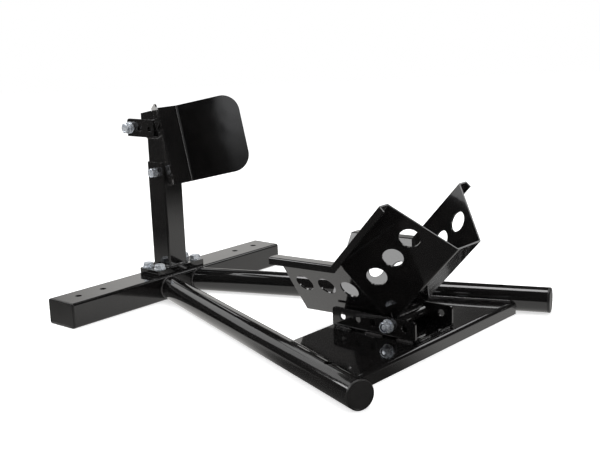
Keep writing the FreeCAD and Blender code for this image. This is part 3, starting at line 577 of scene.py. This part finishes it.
def lay_bead(bm, route, size, ripple=3.2 * MM, seed=0.0):
    """One run of weld: overlapping ripples, a little uneven in width and line, tapered at both ends."""
    points, total = resampled(route, ripple / RIPPLE_RINGS)
    rings = []
    for i, (point, along) in enumerate(points):
        before = points[max(i - 1, 0)][0]
        after = points[min(i + 1, len(points) - 1)][0]
        heading = (after - before).normalized()
        side = heading.orthogonal().normalized()
        if abs(heading.z) < 0.9:
            side = heading.cross(Vector((0, 0, 1))).normalized()
        lift = side.cross(heading)
        wander = noise.noise(Vector((along / WANDER_LENGTH, seed, 0.5)))
        swell = noise.noise(Vector((along / SWELL_LENGTH, seed, 7.5)))
        dimes = RIPPLE_LOW + RIPPLE_RISE * abs(math.cos(math.pi * along / ripple + 0.8 * wander))
        taper = min(1.0, math.sqrt(max(0.04, min(along, total - along) / (BEAD_TAPER * size))))
        radius = size * dimes * taper * (1 + BEAD_UNEVEN * swell)
        middle_of_ring = point + side * (BEAD_UNEVEN * size * wander)
        rings.append(
            [
                middle_of_ring + radius * (math.cos(turn) * side + math.sin(turn) * lift)
                for turn in (math.tau * k / BEAD_SIDES for k in range(BEAD_SIDES))
            ]
        )
    skin_rings(bm, rings)


def spatter(bm, route, spread, count, seed):
    """Small drops of weld metal that froze on the sheet beside a bead."""
    draw = random.Random(seed)
    points = resampled(route, 1 * MM)[0]
    for _ in range(count):
        point = draw.choice(points)[0]
        drop = draw.uniform(*SPATTER_SIZES) * MM
        aside = Vector((draw.gauss(0, spread), draw.gauss(0, spread), 0))
        place = Matrix.Translation(point + aside) @ Matrix.Diagonal((1, 1, SPATTER_FLAT, 1))
        bmesh.ops.create_icosphere(bm, subdivisions=1, radius=drop, matrix=place)


for side, sign in (("left", -1), ("right", 1)):
    coat_node(f"frame_tube_{side}", enamel)
    mouth = []
    for k in range(MOUTH_STEPS + 1):
        turn = math.tau * k / MOUTH_STEPS + math.pi / 2
        out, up = tube_radius * math.cos(turn), tube_radius * math.sin(turn)
        up = max(up, FLOOR_CLEAR - tube_radius)
        mouth.append(tube_point(sign, out * math.tan(SPLAY) + BEAD_PROUD, out, up))
    bm = bmesh.new()
    lay_bead(bm, mouth, MOUTH_BEAD, seed=3.0 + sign)
    finished(f"weld_tube_to_bar_{side}", bm, weld_enamel_painted_sheen, "base_frame")

# ---------------------------------------------------------------- round tube plugs
# Turned-looking moulded plugs in the open ends of both tubes: a flat disc with a raised, rounded rim
# that stands outside the steel, and a hollow spigot inside. Same matt black plastic as the bar's plugs.

PLUG_TURN = 64
PLUG_FLANGE = 5 * MM
PLUG_AXIS_GAP = 0.5 * MM
TUBE_WALL = 2.6 * MM
TUBE_PLAY = 0.3 * MM


def turned(bm, profile, place, count=PLUG_TURN, joined=True):
    """Turns a profile of (radius, height) about local Z and puts it in place."""
    rings = []
    for k in range(count):
        turn = math.tau * k / count
        rings.append([place @ Vector((r * math.cos(turn), r * math.sin(turn), h)) for r, h in profile])
    skin_rings(bm, rings, joined=joined)


def facing(axis, origin):
    """Placement whose local Z runs along the axis."""
    turn = Vector((0, 0, 1)).rotation_difference(Vector(axis)).to_matrix().to_4x4()
    return Matrix.Translation(origin) @ turn


for side, sign in (("left", -1), ("right", 1)):
    spigot = tube_radius - TUBE_WALL - TUBE_PLAY
    # distance from the axis, and height above the tube's mouth
    profile = [
        (PLUG_AXIS_GAP, PLUG_FLANGE - 0.7 * MM),
        (tube_radius - 3.6 * MM, PLUG_FLANGE - 0.7 * MM),
        (tube_radius - 2.9 * MM, PLUG_FLANGE - 0.1 * MM),
        (tube_radius - 2.3 * MM, PLUG_FLANGE),
        (tube_radius - 1.5 * MM, PLUG_FLANGE - 0.15 * MM),
        (tube_radius - 0.6 * MM, PLUG_FLANGE - 0.7 * MM),
        (tube_radius - 0.15 * MM, PLUG_FLANGE - 1.5 * MM),
        (tube_radius, PLUG_FLANGE - 2.4 * MM),
        (tube_radius, 0.0),
        (spigot, 0.0),
        (spigot, -13.5 * MM),
        (spigot - 0.6 * MM, -15 * MM),
        (spigot - PLUG_WALL, -15 * MM),
        (spigot - PLUG_WALL, 0.8 * MM),
        (PLUG_AXIS_GAP, 0.8 * MM),
    ]
    bm = bmesh.new()
    axis = Vector((math.cos(SPLAY), sign * math.sin(SPLAY), 0))
    turned(bm, profile, facing(axis, tube_point(sign, TUBE_LENGTH)))
    finished(f"tube_plug_{side}", bm, plastic, "base_frame", [f"tube_cap_{side}"])

# ---------------------------------------------------------------- front plate
# Steel sheet let in between the tubes, its front edge turned down to the floor. It is welded to both
# tubes along its slanting ends, with spatter left on the sheet beside the bead.

coat_node("front_plate", enamel)
plate_low, plate_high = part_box("front_plate")
ROOT_GAP = 0.3 * MM
PLATE_BEAD = 2.4 * MM
PLATE_SPATTER = 46
SEAM_INSET_BACK = 3 * MM
SEAM_INSET_FRONT = 9 * MM
SEAM_INWARD = 0.4 * MM
SEAM_RAISED = 0.2 * MM
for side, sign, seed in (("left", -1, 11), ("right", 1, 23)):
    route = []
    for x in (plate_low.x + SEAM_INSET_BACK, plate_high.x - SEAM_INSET_FRONT):
        start_y = TUBE_START - (tube_radius + ROOT_GAP) / math.cos(SPLAY)
        seam_y = start_y + (x - bar_face) * math.tan(SPLAY)
        route.append(Vector((x, sign * (seam_y - SEAM_INWARD), plate_high.z + SEAM_RAISED)))
    bm = bmesh.new()
    lay_bead(bm, route, PLATE_BEAD, seed=float(seed))
    spatter(bm, route, 4 * MM, PLATE_SPATTER, seed)
    finished(f"weld_plate_to_tube_{side}", bm, weld_enamel_painted_sheen, "base_frame")

# ---------------------------------------------------------------- pivot channel
# Folded channel bolted through by the cradle's pivot, with five pairs of holes for five wheel sizes.
# It is stitched to the plate: three short welds along each flange, and two across its front end.

coat_node("pivot_channel", enamel)
channel_low, channel_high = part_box("pivot_channel")
# where each stitch begins and ends: as shares of the flange's length, and in mm across the front end
STITCHES = ((0.04, 0.24), (0.4, 0.62), (0.78, 0.98))
FRONT_STITCHES = ((-46, -12), (16, 47))
STITCH_BEAD = 3.1 * MM
STITCH_SPATTER = 14
FRONT_STITCH_BEAD = 2.3 * MM
for side, sign in (("left", -1), ("right", 1)):
    bm = bmesh.new()
    for k, (begin, end) in enumerate(STITCHES):
        y = sign * (channel_high.y + BEAD_PROUD)
        route = [
            Vector((channel_low.x + share * (channel_high.x - channel_low.x), y, channel_low.z + 0.9 * MM))
            for share in (begin, end)
        ]
        lay_bead(bm, route, STITCH_BEAD, seed=5.0 * k + sign)
        spatter(bm, route, 3 * MM, STITCH_SPATTER, 31 + k)
    finished(f"weld_channel_{side}", bm, weld_enamel_painted_sheen, "base_frame")

bm = bmesh.new()
for k, (begin, end) in enumerate(FRONT_STITCHES):
    route = [Vector((channel_high.x + 0.3 * MM, y * MM, channel_low.z + 0.8 * MM)) for y in (begin, end)]
    lay_bead(bm, route, FRONT_STITCH_BEAD, seed=41.0 + k)
finished("weld_channel_front", bm, weld_enamel_painted_sheen, "base_frame")

# ---------------------------------------------------------------- pivot bolt, washers and self-locking nut
# Zinc-plated M12 hexagon set: chamfered forged head, rolled thread ending just inside the nut, flat washers,
# and a nut with a crimped collar that holds a nylon ring. The plating is bright with a bluish cast.

THREAD_PITCH = 1.75 * MM
THREAD_DEPTH = 0.9 * MM
THREAD_SIDES = 32
THREAD_RINGS = 6
TIP_CHAMFER = 1.5 * MM
TIP_RECESS = 1.2 * MM
HEX_COUNT = 48
WASHER_COUNT = 56
CHAMFER_SHARE = 0.475
CHAMFER_FALL = math.tan(math.radians(28))
BORE_CHAMFER = 0.9 * MM
DISH_RIM = 0.80
DISH_FLOOR = 0.74
DISH_DEEP = 0.4 * MM
HEX_SHARE = 0.66
COLLAR_SHARE = 0.485
THROAT_SHARE = 0.385


def zinc_plating():
    """Bright plating with a faint bloom and fine scratches, its corners slightly rounded."""
    material, tree = new_material("zinc_plating")
    place = add_node(tree, "TexCoord").outputs["Object"]
    bloom = add_node(tree, "TexNoise", {"Vector": place, "Scale": 160.0, "Detail": 5.0})
    tint = add_node(tree, "ValToRGB", {"Fac": bloom.outputs["Fac"]})
    tint.color_ramp.elements[0].position = 0.32
    tint.color_ramp.elements[0].color = (0.7, 0.76, 0.85, 1)
    tint.color_ramp.elements[1].position = 0.7
    tint.color_ramp.elements[1].color = (0.95, 0.97, 0.99, 1)
    rough = add_node(tree, "MapRange", {"Value": bloom.outputs["Fac"], "To Min": 0.14, "To Max": 0.38})
    edge = add_node(tree, "Bevel", {"Radius": 0.3 * MM}, samples=4).outputs["Normal"]
    scratches = add_node(tree, "TexNoise", {"Vector": place, "Scale": 1100.0, "Detail": 3.0})
    skin = surface_bump(tree, scratches.outputs["Fac"], 0.14, 0.08 * MM, edge)
    shader = add_node(
        tree,
        "BsdfPrincipled",
        {
            "Base Color": tint.outputs["Color"],
            "Roughness": rough.outputs["Result"],
            "Metallic": 0.6,
            "Normal": skin,
        },
    )
    add_node(tree, "OutputMaterial", {"Surface": shader.outputs[0]})
    return material


def nylon():
    """Dark blue nylon, dull and slightly cloudy."""
    material, tree = new_material("nylon_ring")
    place = add_node(tree, "TexCoord").outputs["Object"]
    cloud = add_node(tree, "TexNoise", {"Vector": place, "Scale": 300.0, "Detail": 3.0})
    tint = add_node(tree, "ValToRGB", {"Fac": cloud.outputs["Fac"]})
    tint.color_ramp.elements[0].color = (0.004, 0.008, 0.02, 1)
    tint.color_ramp.elements[1].color = (0.01, 0.02, 0.045, 1)
    skin = surface_bump(tree, cloud.outputs["Fac"], 0.2, 0.1 * MM)
    shader = add_node(
        tree,
        "BsdfPrincipled",
        {"Base Color": tint.outputs["Color"], "Roughness": 0.45, "IOR": 1.53, "Normal": skin},
    )
    add_node(tree, "OutputMaterial", {"Surface": shader.outputs[0]})
    return material


def hex_reach(turn, flats):
    """How far a hexagon with a corner at zero reaches at a turn about its middle."""
    sector = math.pi / 3
    return flats / 2 / math.cos((turn % sector) - sector / 2)


def hex_prism(bm, flats, tall, bore, place, both_ends):
    """A hexagon head or nut with its corners turned down to a chamfer. A bore of 0 leaves it solid."""
    chamfer_circle = CHAMFER_SHARE * flats
    turns = [math.tau * k / HEX_COUNT for k in range(HEX_COUNT)]

    def ring(reach, height):
        return [place @ Vector((reach(t) * math.cos(t), reach(t) * math.sin(t), height(t))) for t in turns]

    def drop(t):
        return (hex_reach(t, flats) - chamfer_circle) * CHAMFER_FALL

    rings = []
    if both_ends:
        rings.append(ring(lambda t: chamfer_circle, lambda t: 0.0))
        rings.append(ring(lambda t: hex_reach(t, flats), drop))
    else:
        rings.append(ring(lambda t: hex_reach(t, flats), lambda t: 0.0))
    rings.append(ring(lambda t: hex_reach(t, flats), lambda t: tall - drop(t)))
    rings.append(ring(lambda t: chamfer_circle, lambda t: tall))
    if not bore:
        rings.append(ring(lambda t: DISH_RIM * chamfer_circle, lambda t: tall))
        rings.append(ring(lambda t: DISH_FLOOR * chamfer_circle, lambda t: tall - DISH_DEEP))
        skin_rings(bm, rings)
        return
    rings.append(ring(lambda t: bore + BORE_CHAMFER, lambda t: tall))
    rings.append(ring(lambda t: bore, lambda t: tall - BORE_CHAMFER))
    rings.append(ring(lambda t: bore, lambda t: BORE_CHAMFER))
    rings.append(ring(lambda t: bore + BORE_CHAMFER, lambda t: 0.0))
    skin_rings(bm, rings, joined=True)


def threaded_rod(bm, radius, begin, end, place, pitch=THREAD_PITCH):
    """A rolled thread: one helical ridge from begin to end, with a chamfered tip at the end."""
    count = max(3, math.ceil(abs(end - begin) / (pitch / THREAD_RINGS)))
    rings = []
    for i in range(count + 1):
        height = begin + (end - begin) * i / count
        left = abs(end - height)
        tip = max(0.0, TIP_CHAMFER - left)
        ring = []
        for k in range(THREAD_SIDES):
            turn = math.tau * k / THREAD_SIDES
            phase = (height / pitch - turn / math.tau) % 1.0
            ridge = abs(2 * phase - 1)
            reach = radius - THREAD_DEPTH * (radius / (6 * MM)) * ridge - tip
            ring.append(place @ Vector((reach * math.cos(turn), reach * math.sin(turn), height)))
        rings.append(ring)
    skin_rings(bm, rings)


def plain_shank(bm, radius, begin, end, place):
    """The unthreaded part of a bolt."""
    rings = []
    for height in (begin, end):
        rings.append(
            [
                place @ Vector((radius * math.cos(t), radius * math.sin(t), height))
                for t in (math.tau * k / THREAD_SIDES for k in range(THREAD_SIDES))
            ]
        )
    skin_rings(bm, rings)


def washer(bm, across, bore, thick, place):
    """A stamped flat washer: one edge rolled over by the press, the other sharp."""
    outer = across / 2
    profile = [
        (bore / 2, 0.0),
        (outer - 0.15 * MM, 0.0),
        (outer, 0.2 * MM),
        (outer, thick - 0.55 * MM),
        (outer - 0.2 * MM, thick - 0.15 * MM),
        (outer - 0.6 * MM, thick),
        (bore / 2 + 0.4 * MM, thick),
        (bore / 2, thick - 0.3 * MM),
    ]
    turned(bm, profile, place, WASHER_COUNT)


def spun(place, degrees):
    """The same placement turned about its own axis, as a fastener ends up when it is tightened."""
    return place @ Matrix.Rotation(math.radians(degrees), 4, "Z")


def lock_nut(bm, flats, tall, thread, place):
    """The steel of a self-locking nut: a hexagon with a crimped round collar above it."""
    hex_tall = HEX_SHARE * tall
    hex_prism(bm, flats, hex_tall, thread / 2 - 0.3 * MM, place, True)
    collar = COLLAR_SHARE * flats
    throat = THROAT_SHARE * flats
    profile = [
        (throat, hex_tall - 0.3 * MM),
        (collar, hex_tall - 0.3 * MM),
        (collar, tall - 1.9 * MM),
        (collar - 0.3 * MM, tall - 1.0 * MM),
        (collar - 0.8 * MM, tall - 0.35 * MM),
        (collar - 1.5 * MM, tall),
        (throat - 0.15 * MM, tall),
        (throat - 0.15 * MM, tall - 0.6 * MM),
        (throat, tall - 0.8 * MM),
    ]
    turned(bm, profile, place, HEX_COUNT)


def nylon_insert(bm, flats, tall, thread, place):
    """The nylon ring that the nut's collar holds, a little below its rim."""
    throat = THROAT_SHARE * flats
    bore = thread / 2 - 0.1 * MM
    profile = [
        (bore, 0.68 * tall),
        (throat, 0.68 * tall),
        (throat, tall - 0.85 * MM),
        (bore + 0.5 * MM, tall - 0.85 * MM),
        (bore, tall - 1.3 * MM),
    ]
    turned(bm, profile, place, HEX_COUNT)


zinc = zinc_plating()
nylon_blue = nylon()
M12 = 12 * MM
FLATS_12 = 19 * MM
WASHER_ACROSS = 24 * MM
WASHER_BORE = 12.4 * MM
WASHER_THICK = 2.5 * MM
HEAD_12 = 7.5 * MM
SPLIT_SPIN = 200


def cross_bolt(name, body, head_sign, spins, extra_washers=()):
    """A bolt along Y with its washers and lock nut, in the places of the CAD's own."""
    bolt_low, bolt_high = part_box(f"{name}_bolt")
    nut_low, nut_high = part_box(f"{name}_nut")
    washer_low, washer_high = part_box(f"{name}_washers")
    centre_x = (bolt_low.x + bolt_high.x) / 2
    centre_z = (bolt_low.z + bolt_high.z) / 2
    head_seat = washer_high.y if head_sign > 0 else washer_low.y
    nut_seat = nut_high.y if head_sign > 0 else nut_low.y
    tip = nut_low.y + TIP_RECESS if head_sign > 0 else nut_high.y - TIP_RECESS
    out = Vector((0, head_sign, 0))
    head_place = spun(facing(out, Vector((centre_x, head_seat, centre_z))), spins[0])
    nut_place = spun(facing(-out, Vector((centre_x, nut_seat, centre_z))), spins[1])

    bm = bmesh.new()
    hex_prism(bm, FLATS_12, HEAD_12, 0, head_place, False)
    plain_shank(bm, M12 / 2, 0.0, -abs(head_seat - nut_seat), head_place)
    threaded_rod(bm, M12 / 2, -abs(head_seat - nut_seat), -abs(head_seat - tip), head_place)
    finished(f"{name}_bolt_m12", bm, zinc, body, [f"{name}_bolt"])

    bm = bmesh.new()
    lock_nut(bm, FLATS_12, nut_high.y - nut_low.y, M12, nut_place)
    finished(f"{name}_lock_nut", bm, zinc, body, [f"{name}_nut"])
    bm = bmesh.new()
    nylon_insert(bm, FLATS_12, nut_high.y - nut_low.y, M12, nut_place)
    finished(f"{name}_nylon_ring", bm, nylon_blue, body)

    bm = bmesh.new()
    nut_washer = Vector((centre_x, nut_seat + head_sign * WASHER_THICK, centre_z))
    washer(bm, WASHER_ACROSS, WASHER_BORE, WASHER_THICK, facing(-out, nut_washer))
    back = head_seat
    for across_washer, thick, split in ((WASHER_ACROSS, WASHER_THICK, False), *extra_washers):
        back -= head_sign * thick
        seat = facing(out, Vector((centre_x, back, centre_z)))
        if split:
            spring_washer(bm, across_washer, WASHER_BORE, thick, spun(seat, SPLIT_SPIN))
        else:
            washer(bm, across_washer, WASHER_BORE, thick, seat)
    finished(f"{name}_washer_set", bm, zinc, body, [f"{name}_washers"])


cross_bolt("pivot", "base_frame", 1, (14, 21))

# ---------------------------------------------------------------- cradle
# Two folded sheet troughs with hooked rims, mitred and welded together at the knee, and a pivot tube
# welded under them. The tube turns on the pivot bolt, so that the wheel tips the cradle over.

cradle_enamel = black_enamel("black_enamel_cradle")
for node in ("cradle_front_trough", "cradle_rear_trough", "pivot_sleeve"):
    coat_node(node, cradle_enamel)

FLARE = math.radians(32.3)
FOLD = math.radians(45.8)
DROOP = math.radians(1.7)
TROUGH_HALF = 35 * MM
KNEE_FROM_PIVOT = Vector((-9.7 * MM, 0, -3.5 * MM))
KNEE_SEAM = (8 * MM, 128 * MM)
KNEE_PROUD = 0.1 * MM
KNEE_BEAD = 1.3 * MM
SLEEVE_REACH = 18.5 * MM
SLEEVE_BEAD = 2.0 * MM
REAR_JOINT_FROM_KNEE = Vector((-0.6 * MM, 0, -0.8 * MM))
sleeve_low, sleeve_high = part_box("pivot_sleeve")
pivot = (sleeve_low + sleeve_high) / 2
knee = pivot + KNEE_FROM_PIVOT
bisector_turn = DROOP + FOLD / 2
along_mitre = Vector((-math.sin(bisector_turn), 0, math.cos(bisector_turn))) / math.cos(FOLD / 2)


def knee_point(sign, slant, out=0.0):
    """A point on the troughs' joint: how far up the slanting wall, and how far outside it."""
    rise = slant * math.cos(FLARE) - out * math.sin(FLARE)
    y = TROUGH_HALF + slant * math.sin(FLARE) + out * math.cos(FLARE)
    return knee + rise * along_mitre + Vector((0, sign * y, 0))


for side, sign in (("left", -1), ("right", 1)):
    bm = bmesh.new()
    seam = [knee_point(sign, slant, KNEE_PROUD) for slant in KNEE_SEAM]
    lay_bead(bm, seam, KNEE_BEAD, seed=51.0 + sign)
    finished(f"weld_knee_{side}", bm, cradle_enamel, "rocker")

bm = bmesh.new()
floor_half = TROUGH_HALF - 5 * MM
climb = DROOP + FOLD
front_floor = Vector((math.cos(climb), 0, math.sin(climb)))
front_joint = knee + SLEEVE_REACH * front_floor
rear_joint = knee + REAR_JOINT_FROM_KNEE
for joint, seed in ((front_joint, 61.0), (rear_joint, 62.0)):
    seam = [Vector((joint.x, y, joint.z)) for y in (-floor_half, floor_half)]
    lay_bead(bm, seam, SLEEVE_BEAD, seed=seed)
finished("weld_sleeve_to_cradle", bm, weld_enamel_painted_sheen, "rocker")

# ---------------------------------------------------------------- rest buffer
# Moulded rubber block stuck in the channel under the tipped-back cradle, to take its knock.
# Plain black rubber, dull, with rounded edges.

RUBBER_ROUND = 1.5 * MM
RUBBER_CORNER = 2.5 * MM
RUBBER_SHORT = 0.4 * MM
# how far up the block, and how much of its rounding is taken in
RUBBER_STEPS = ((0.0, 0.0), (0.75, 0.0), (0.93, 0.35), (1.0, 1.0))


def black_rubber():
    """Dull black rubber with a grey bloom."""
    material, tree = new_material("black_rubber_block")
    place = add_node(tree, "TexCoord").outputs["Object"]
    bloom = add_node(tree, "TexNoise", {"Vector": place, "Scale": 90.0, "Detail": 5.0})
    tint = add_node(tree, "ValToRGB", {"Fac": bloom.outputs["Fac"]})
    tint.color_ramp.elements[0].color = (0.012, 0.012, 0.012, 1)
    tint.color_ramp.elements[1].color = (0.026, 0.026, 0.025, 1)
    rough = add_node(tree, "MapRange", {"Value": bloom.outputs["Fac"], "To Min": 0.65, "To Max": 0.9})
    skin = surface_bump(tree, bloom.outputs["Fac"], 0.35, 0.2 * MM)
    shader = add_node(
        tree,
        "BsdfPrincipled",
        {"Base Color": tint.outputs["Color"], "Roughness": rough.outputs["Result"], "Normal": skin},
    )
    add_node(tree, "OutputMaterial", {"Surface": shader.outputs[0]})
    return material


buffer_low, buffer_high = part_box("rest_buffer")
bm = bmesh.new()
rings = []
for share, inset in RUBBER_STEPS:
    z = buffer_low.z + share * (buffer_high.z - buffer_low.z - RUBBER_SHORT)
    outline = rounded_outline(
        buffer_high.x - buffer_low.x, buffer_high.y - buffer_low.y, RUBBER_CORNER, inset * RUBBER_ROUND
    )
    centre = (buffer_low + buffer_high) / 2
    rings.append([Vector((centre.x + a, centre.y + b, z)) for a, b in outline])
skin_rings(bm, rings)
finished("rest_buffer_block", bm, black_rubber(), "base_frame", ["rest_buffer"])

# ---------------------------------------------------------------- mast feet and foot bolts
# Two steel foot plates on the bar, the upper one welded to the mast, clamped by four M12 hexagon bolts
# with flat washers into nuts under the bar's top wall.

for node in ("mast_foot_lower", "mast_foot_upper"):
    coat_node(node, enamel)
coat_node("foot_nuts", zinc)
foot_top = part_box("mast_foot_upper")[1].z
bolts_low, bolts_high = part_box("foot_bolts")
mast_low, mast_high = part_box("mast_tube")
FOOT_SHANK = 15 * MM
FOOT_BEAD = 2.3 * MM
hex_long = FLATS_12 / math.cos(math.pi / 6)
# where each bolt stands, front or rear and left or right, and how many degrees its head is turned
foot_spin = {(-1, -1): 12, (-1, 1): 41, (1, -1): 27, (1, 1): 3}
bolt_set, washer_set = bmesh.new(), bmesh.new()
for (i, j), degrees in foot_spin.items():
    x = bolts_high.x - hex_long / 2 if i > 0 else bolts_low.x + hex_long / 2
    y = j * (bolts_high.y - FLATS_12 / 2)
    seat = spun(Matrix.Translation((x, y, bolts_high.z - HEAD_12)), degrees)
    hex_prism(bolt_set, FLATS_12, HEAD_12, 0, seat, False)
    plain_shank(bolt_set, M12 / 2, 0.0, -FOOT_SHANK, seat)
    threaded_rod(bolt_set, M12 / 2, -FOOT_SHANK, -(bolts_high.z - HEAD_12 - bolts_low.z), seat)
    washer(washer_set, WASHER_ACROSS, WASHER_BORE, WASHER_THICK, Matrix.Translation((x, y, foot_top)))
finished("foot_bolts_m12", bolt_set, zinc, "base_frame", ["foot_bolts"])
finished("foot_washer_set", washer_set, zinc, "base_frame", ["foot_washers"])


def square_route(low, high, z, out, corner=4 * MM):
    """Corners of a route round an upright square tube, just outside it, rounded at its edges."""
    centre = (low + high) / 2
    width, depth = high.x - low.x + 2 * out, high.y - low.y + 2 * out
    ring = rounded_outline(width, depth, corner, 0.0)
    points = [Vector((centre.x + a, centre.y + b, z)) for a, b in ring]
    return points + points[:1]


bm = bmesh.new()
lay_bead(bm, square_route(mast_low, mast_high, foot_top + 0.7 * MM, 0.5 * MM), FOOT_BEAD, seed=71.0)
finished("weld_mast_foot", bm, weld_enamel_painted_sheen, "base_frame")

# ---------------------------------------------------------------- mast and its set bolt
# Square steel tube that the post slides in. A nut welded over a hole in its left face takes an M10
# set bolt, which presses on the post and holds its height.

coat_node("mast_tube", enamel)
FLATS_10 = 17 * MM
M10 = 10 * MM
HEAD_10 = 6.4 * MM
M10_PITCH = 1.5 * MM
TACK_BEAD = 1.5 * MM
TACK_REACH = 0.53 * FLATS_10
TACK_TURNS = (0.6, 2.4, 4.2, 5.6)
TACK_STEP = 0.13
nut_low, nut_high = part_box("set_nut")
bolt_low, bolt_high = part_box("set_bolt")
set_x, set_z = (nut_low.x + nut_high.x) / 2, (nut_low.z + nut_high.z) / 2
out = Vector((0, -1, 0))
bm = bmesh.new()
nut_place = facing(out, (set_x, nut_high.y, set_z))
hex_prism(bm, FLATS_10, nut_high.y - nut_low.y, M10 / 2 - 0.3 * MM, nut_place, True)
finished("set_weld_nut", bm, zinc, "base_frame", ["set_nut"])
bm = bmesh.new()
head = spun(facing(out, (set_x, bolt_low.y + HEAD_10, set_z)), 22)
hex_prism(bm, FLATS_10, HEAD_10, 0, head, False)
threaded_rod(bm, M10 / 2, 0.0, -(bolt_high.y - bolt_low.y - HEAD_10), head, M10_PITCH)
finished("set_bolt_m10", bm, zinc, "base_frame", ["set_bolt"])
bm = bmesh.new()
for k, turn in enumerate(TACK_TURNS):
    tack = []
    for step in range(5):
        angle = turn + TACK_STEP * (step - 2)
        x, z = set_x + TACK_REACH * math.cos(angle), set_z + TACK_REACH * math.sin(angle)
        tack.append(Vector((x, mast_low.y - 0.4 * MM, z)))
    lay_bead(bm, tack, TACK_BEAD, seed=81.0 + k)
finished("weld_set_nut", bm, weld_enamel_painted_sheen, "base_frame")

# ---------------------------------------------------------------- post and head channel
# Smaller square tube that carries the stop. A short folded channel is welded across its open top, with
# three pairs of holes, so that the arm can be bolted at three reaches.

stop_enamel = black_enamel("black_enamel_stop")
for node in ("mast_post", "head_channel", "stop_arm", "wheel_stop"):
    coat_node(node, stop_enamel)
POST_BEAD = 1.8 * MM
POST_CORNER = 3 * MM
post_low, post_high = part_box("mast_post")
bm = bmesh.new()
seam = square_route(post_low, post_high, post_high.z - 0.8 * MM, 0.4 * MM, POST_CORNER)
lay_bead(bm, seam, POST_BEAD, seed=91.0)
finished("weld_post_to_head", bm, weld_enamel_painted_sheen, "stop_carriage")

# ---------------------------------------------------------------- stop bolt
# Zinc-plated M12 bolt across the head channel and the arm in it, with a spring washer between two flat
# ones under its head, and a self-locking nut on the right.

SPRING_ACROSS = 21 * MM
SPRING_THICK = 3 * MM
SPRING_LIFT = 0.5 * MM
SPRING_STEPS = 44
SPRING_GAP_END = 7
SPRING_SWEEP = 346


def spring_washer(bm, across_washer, bore, thick, place):
    """A split ring of square wire, one end standing a little higher than the other."""
    outer, inner = across_washer / 2, bore / 2
    rings = []
    for k in range(SPRING_STEPS + 1):
        share = k / SPRING_STEPS
        turn = math.radians(SPRING_GAP_END + SPRING_SWEEP * share)
        low = SPRING_LIFT * share
        high = thick - SPRING_LIFT * (1 - share)
        corners = ((inner, low), (outer, low), (outer, high), (inner, high))
        rings.append([place @ Vector((r * math.cos(turn), r * math.sin(turn), h)) for r, h in corners])
    skin_rings(bm, rings)


under_head = ((SPRING_ACROSS, SPRING_THICK, True), (WASHER_ACROSS, WASHER_THICK, False))
cross_bolt("stop", "stop_carriage", -1, (9, 33), under_head)

# ---------------------------------------------------------------- arm and wheel stop
# The folded arm lies in the head channel and ends in a neck, welded to the back of the wheel stop:
# one sheet with a flat middle and two wings folded towards the wheel, its outer corners well rounded.

arm_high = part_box("stop_arm")[1]
NECK_LOW = 357 * MM
NECK_HIGH = 374 * MM
STOP_LEAN = math.radians(13.5)
NECK_BEAD = 2.2 * MM
bm = bmesh.new()
for k, sign in enumerate((-1, 1)):
    route = []
    for z in (NECK_LOW, NECK_HIGH):
        x = arm_high.x - (z - NECK_LOW) * math.tan(STOP_LEAN)
        route.append(Vector((x - 0.8 * MM, sign * (arm_high.y + 0.5 * MM), z)))
    lay_bead(bm, route, NECK_BEAD, seed=101.0 + k)
finished("weld_neck_to_stop", bm, weld_enamel_painted_sheen, "stop_carriage")
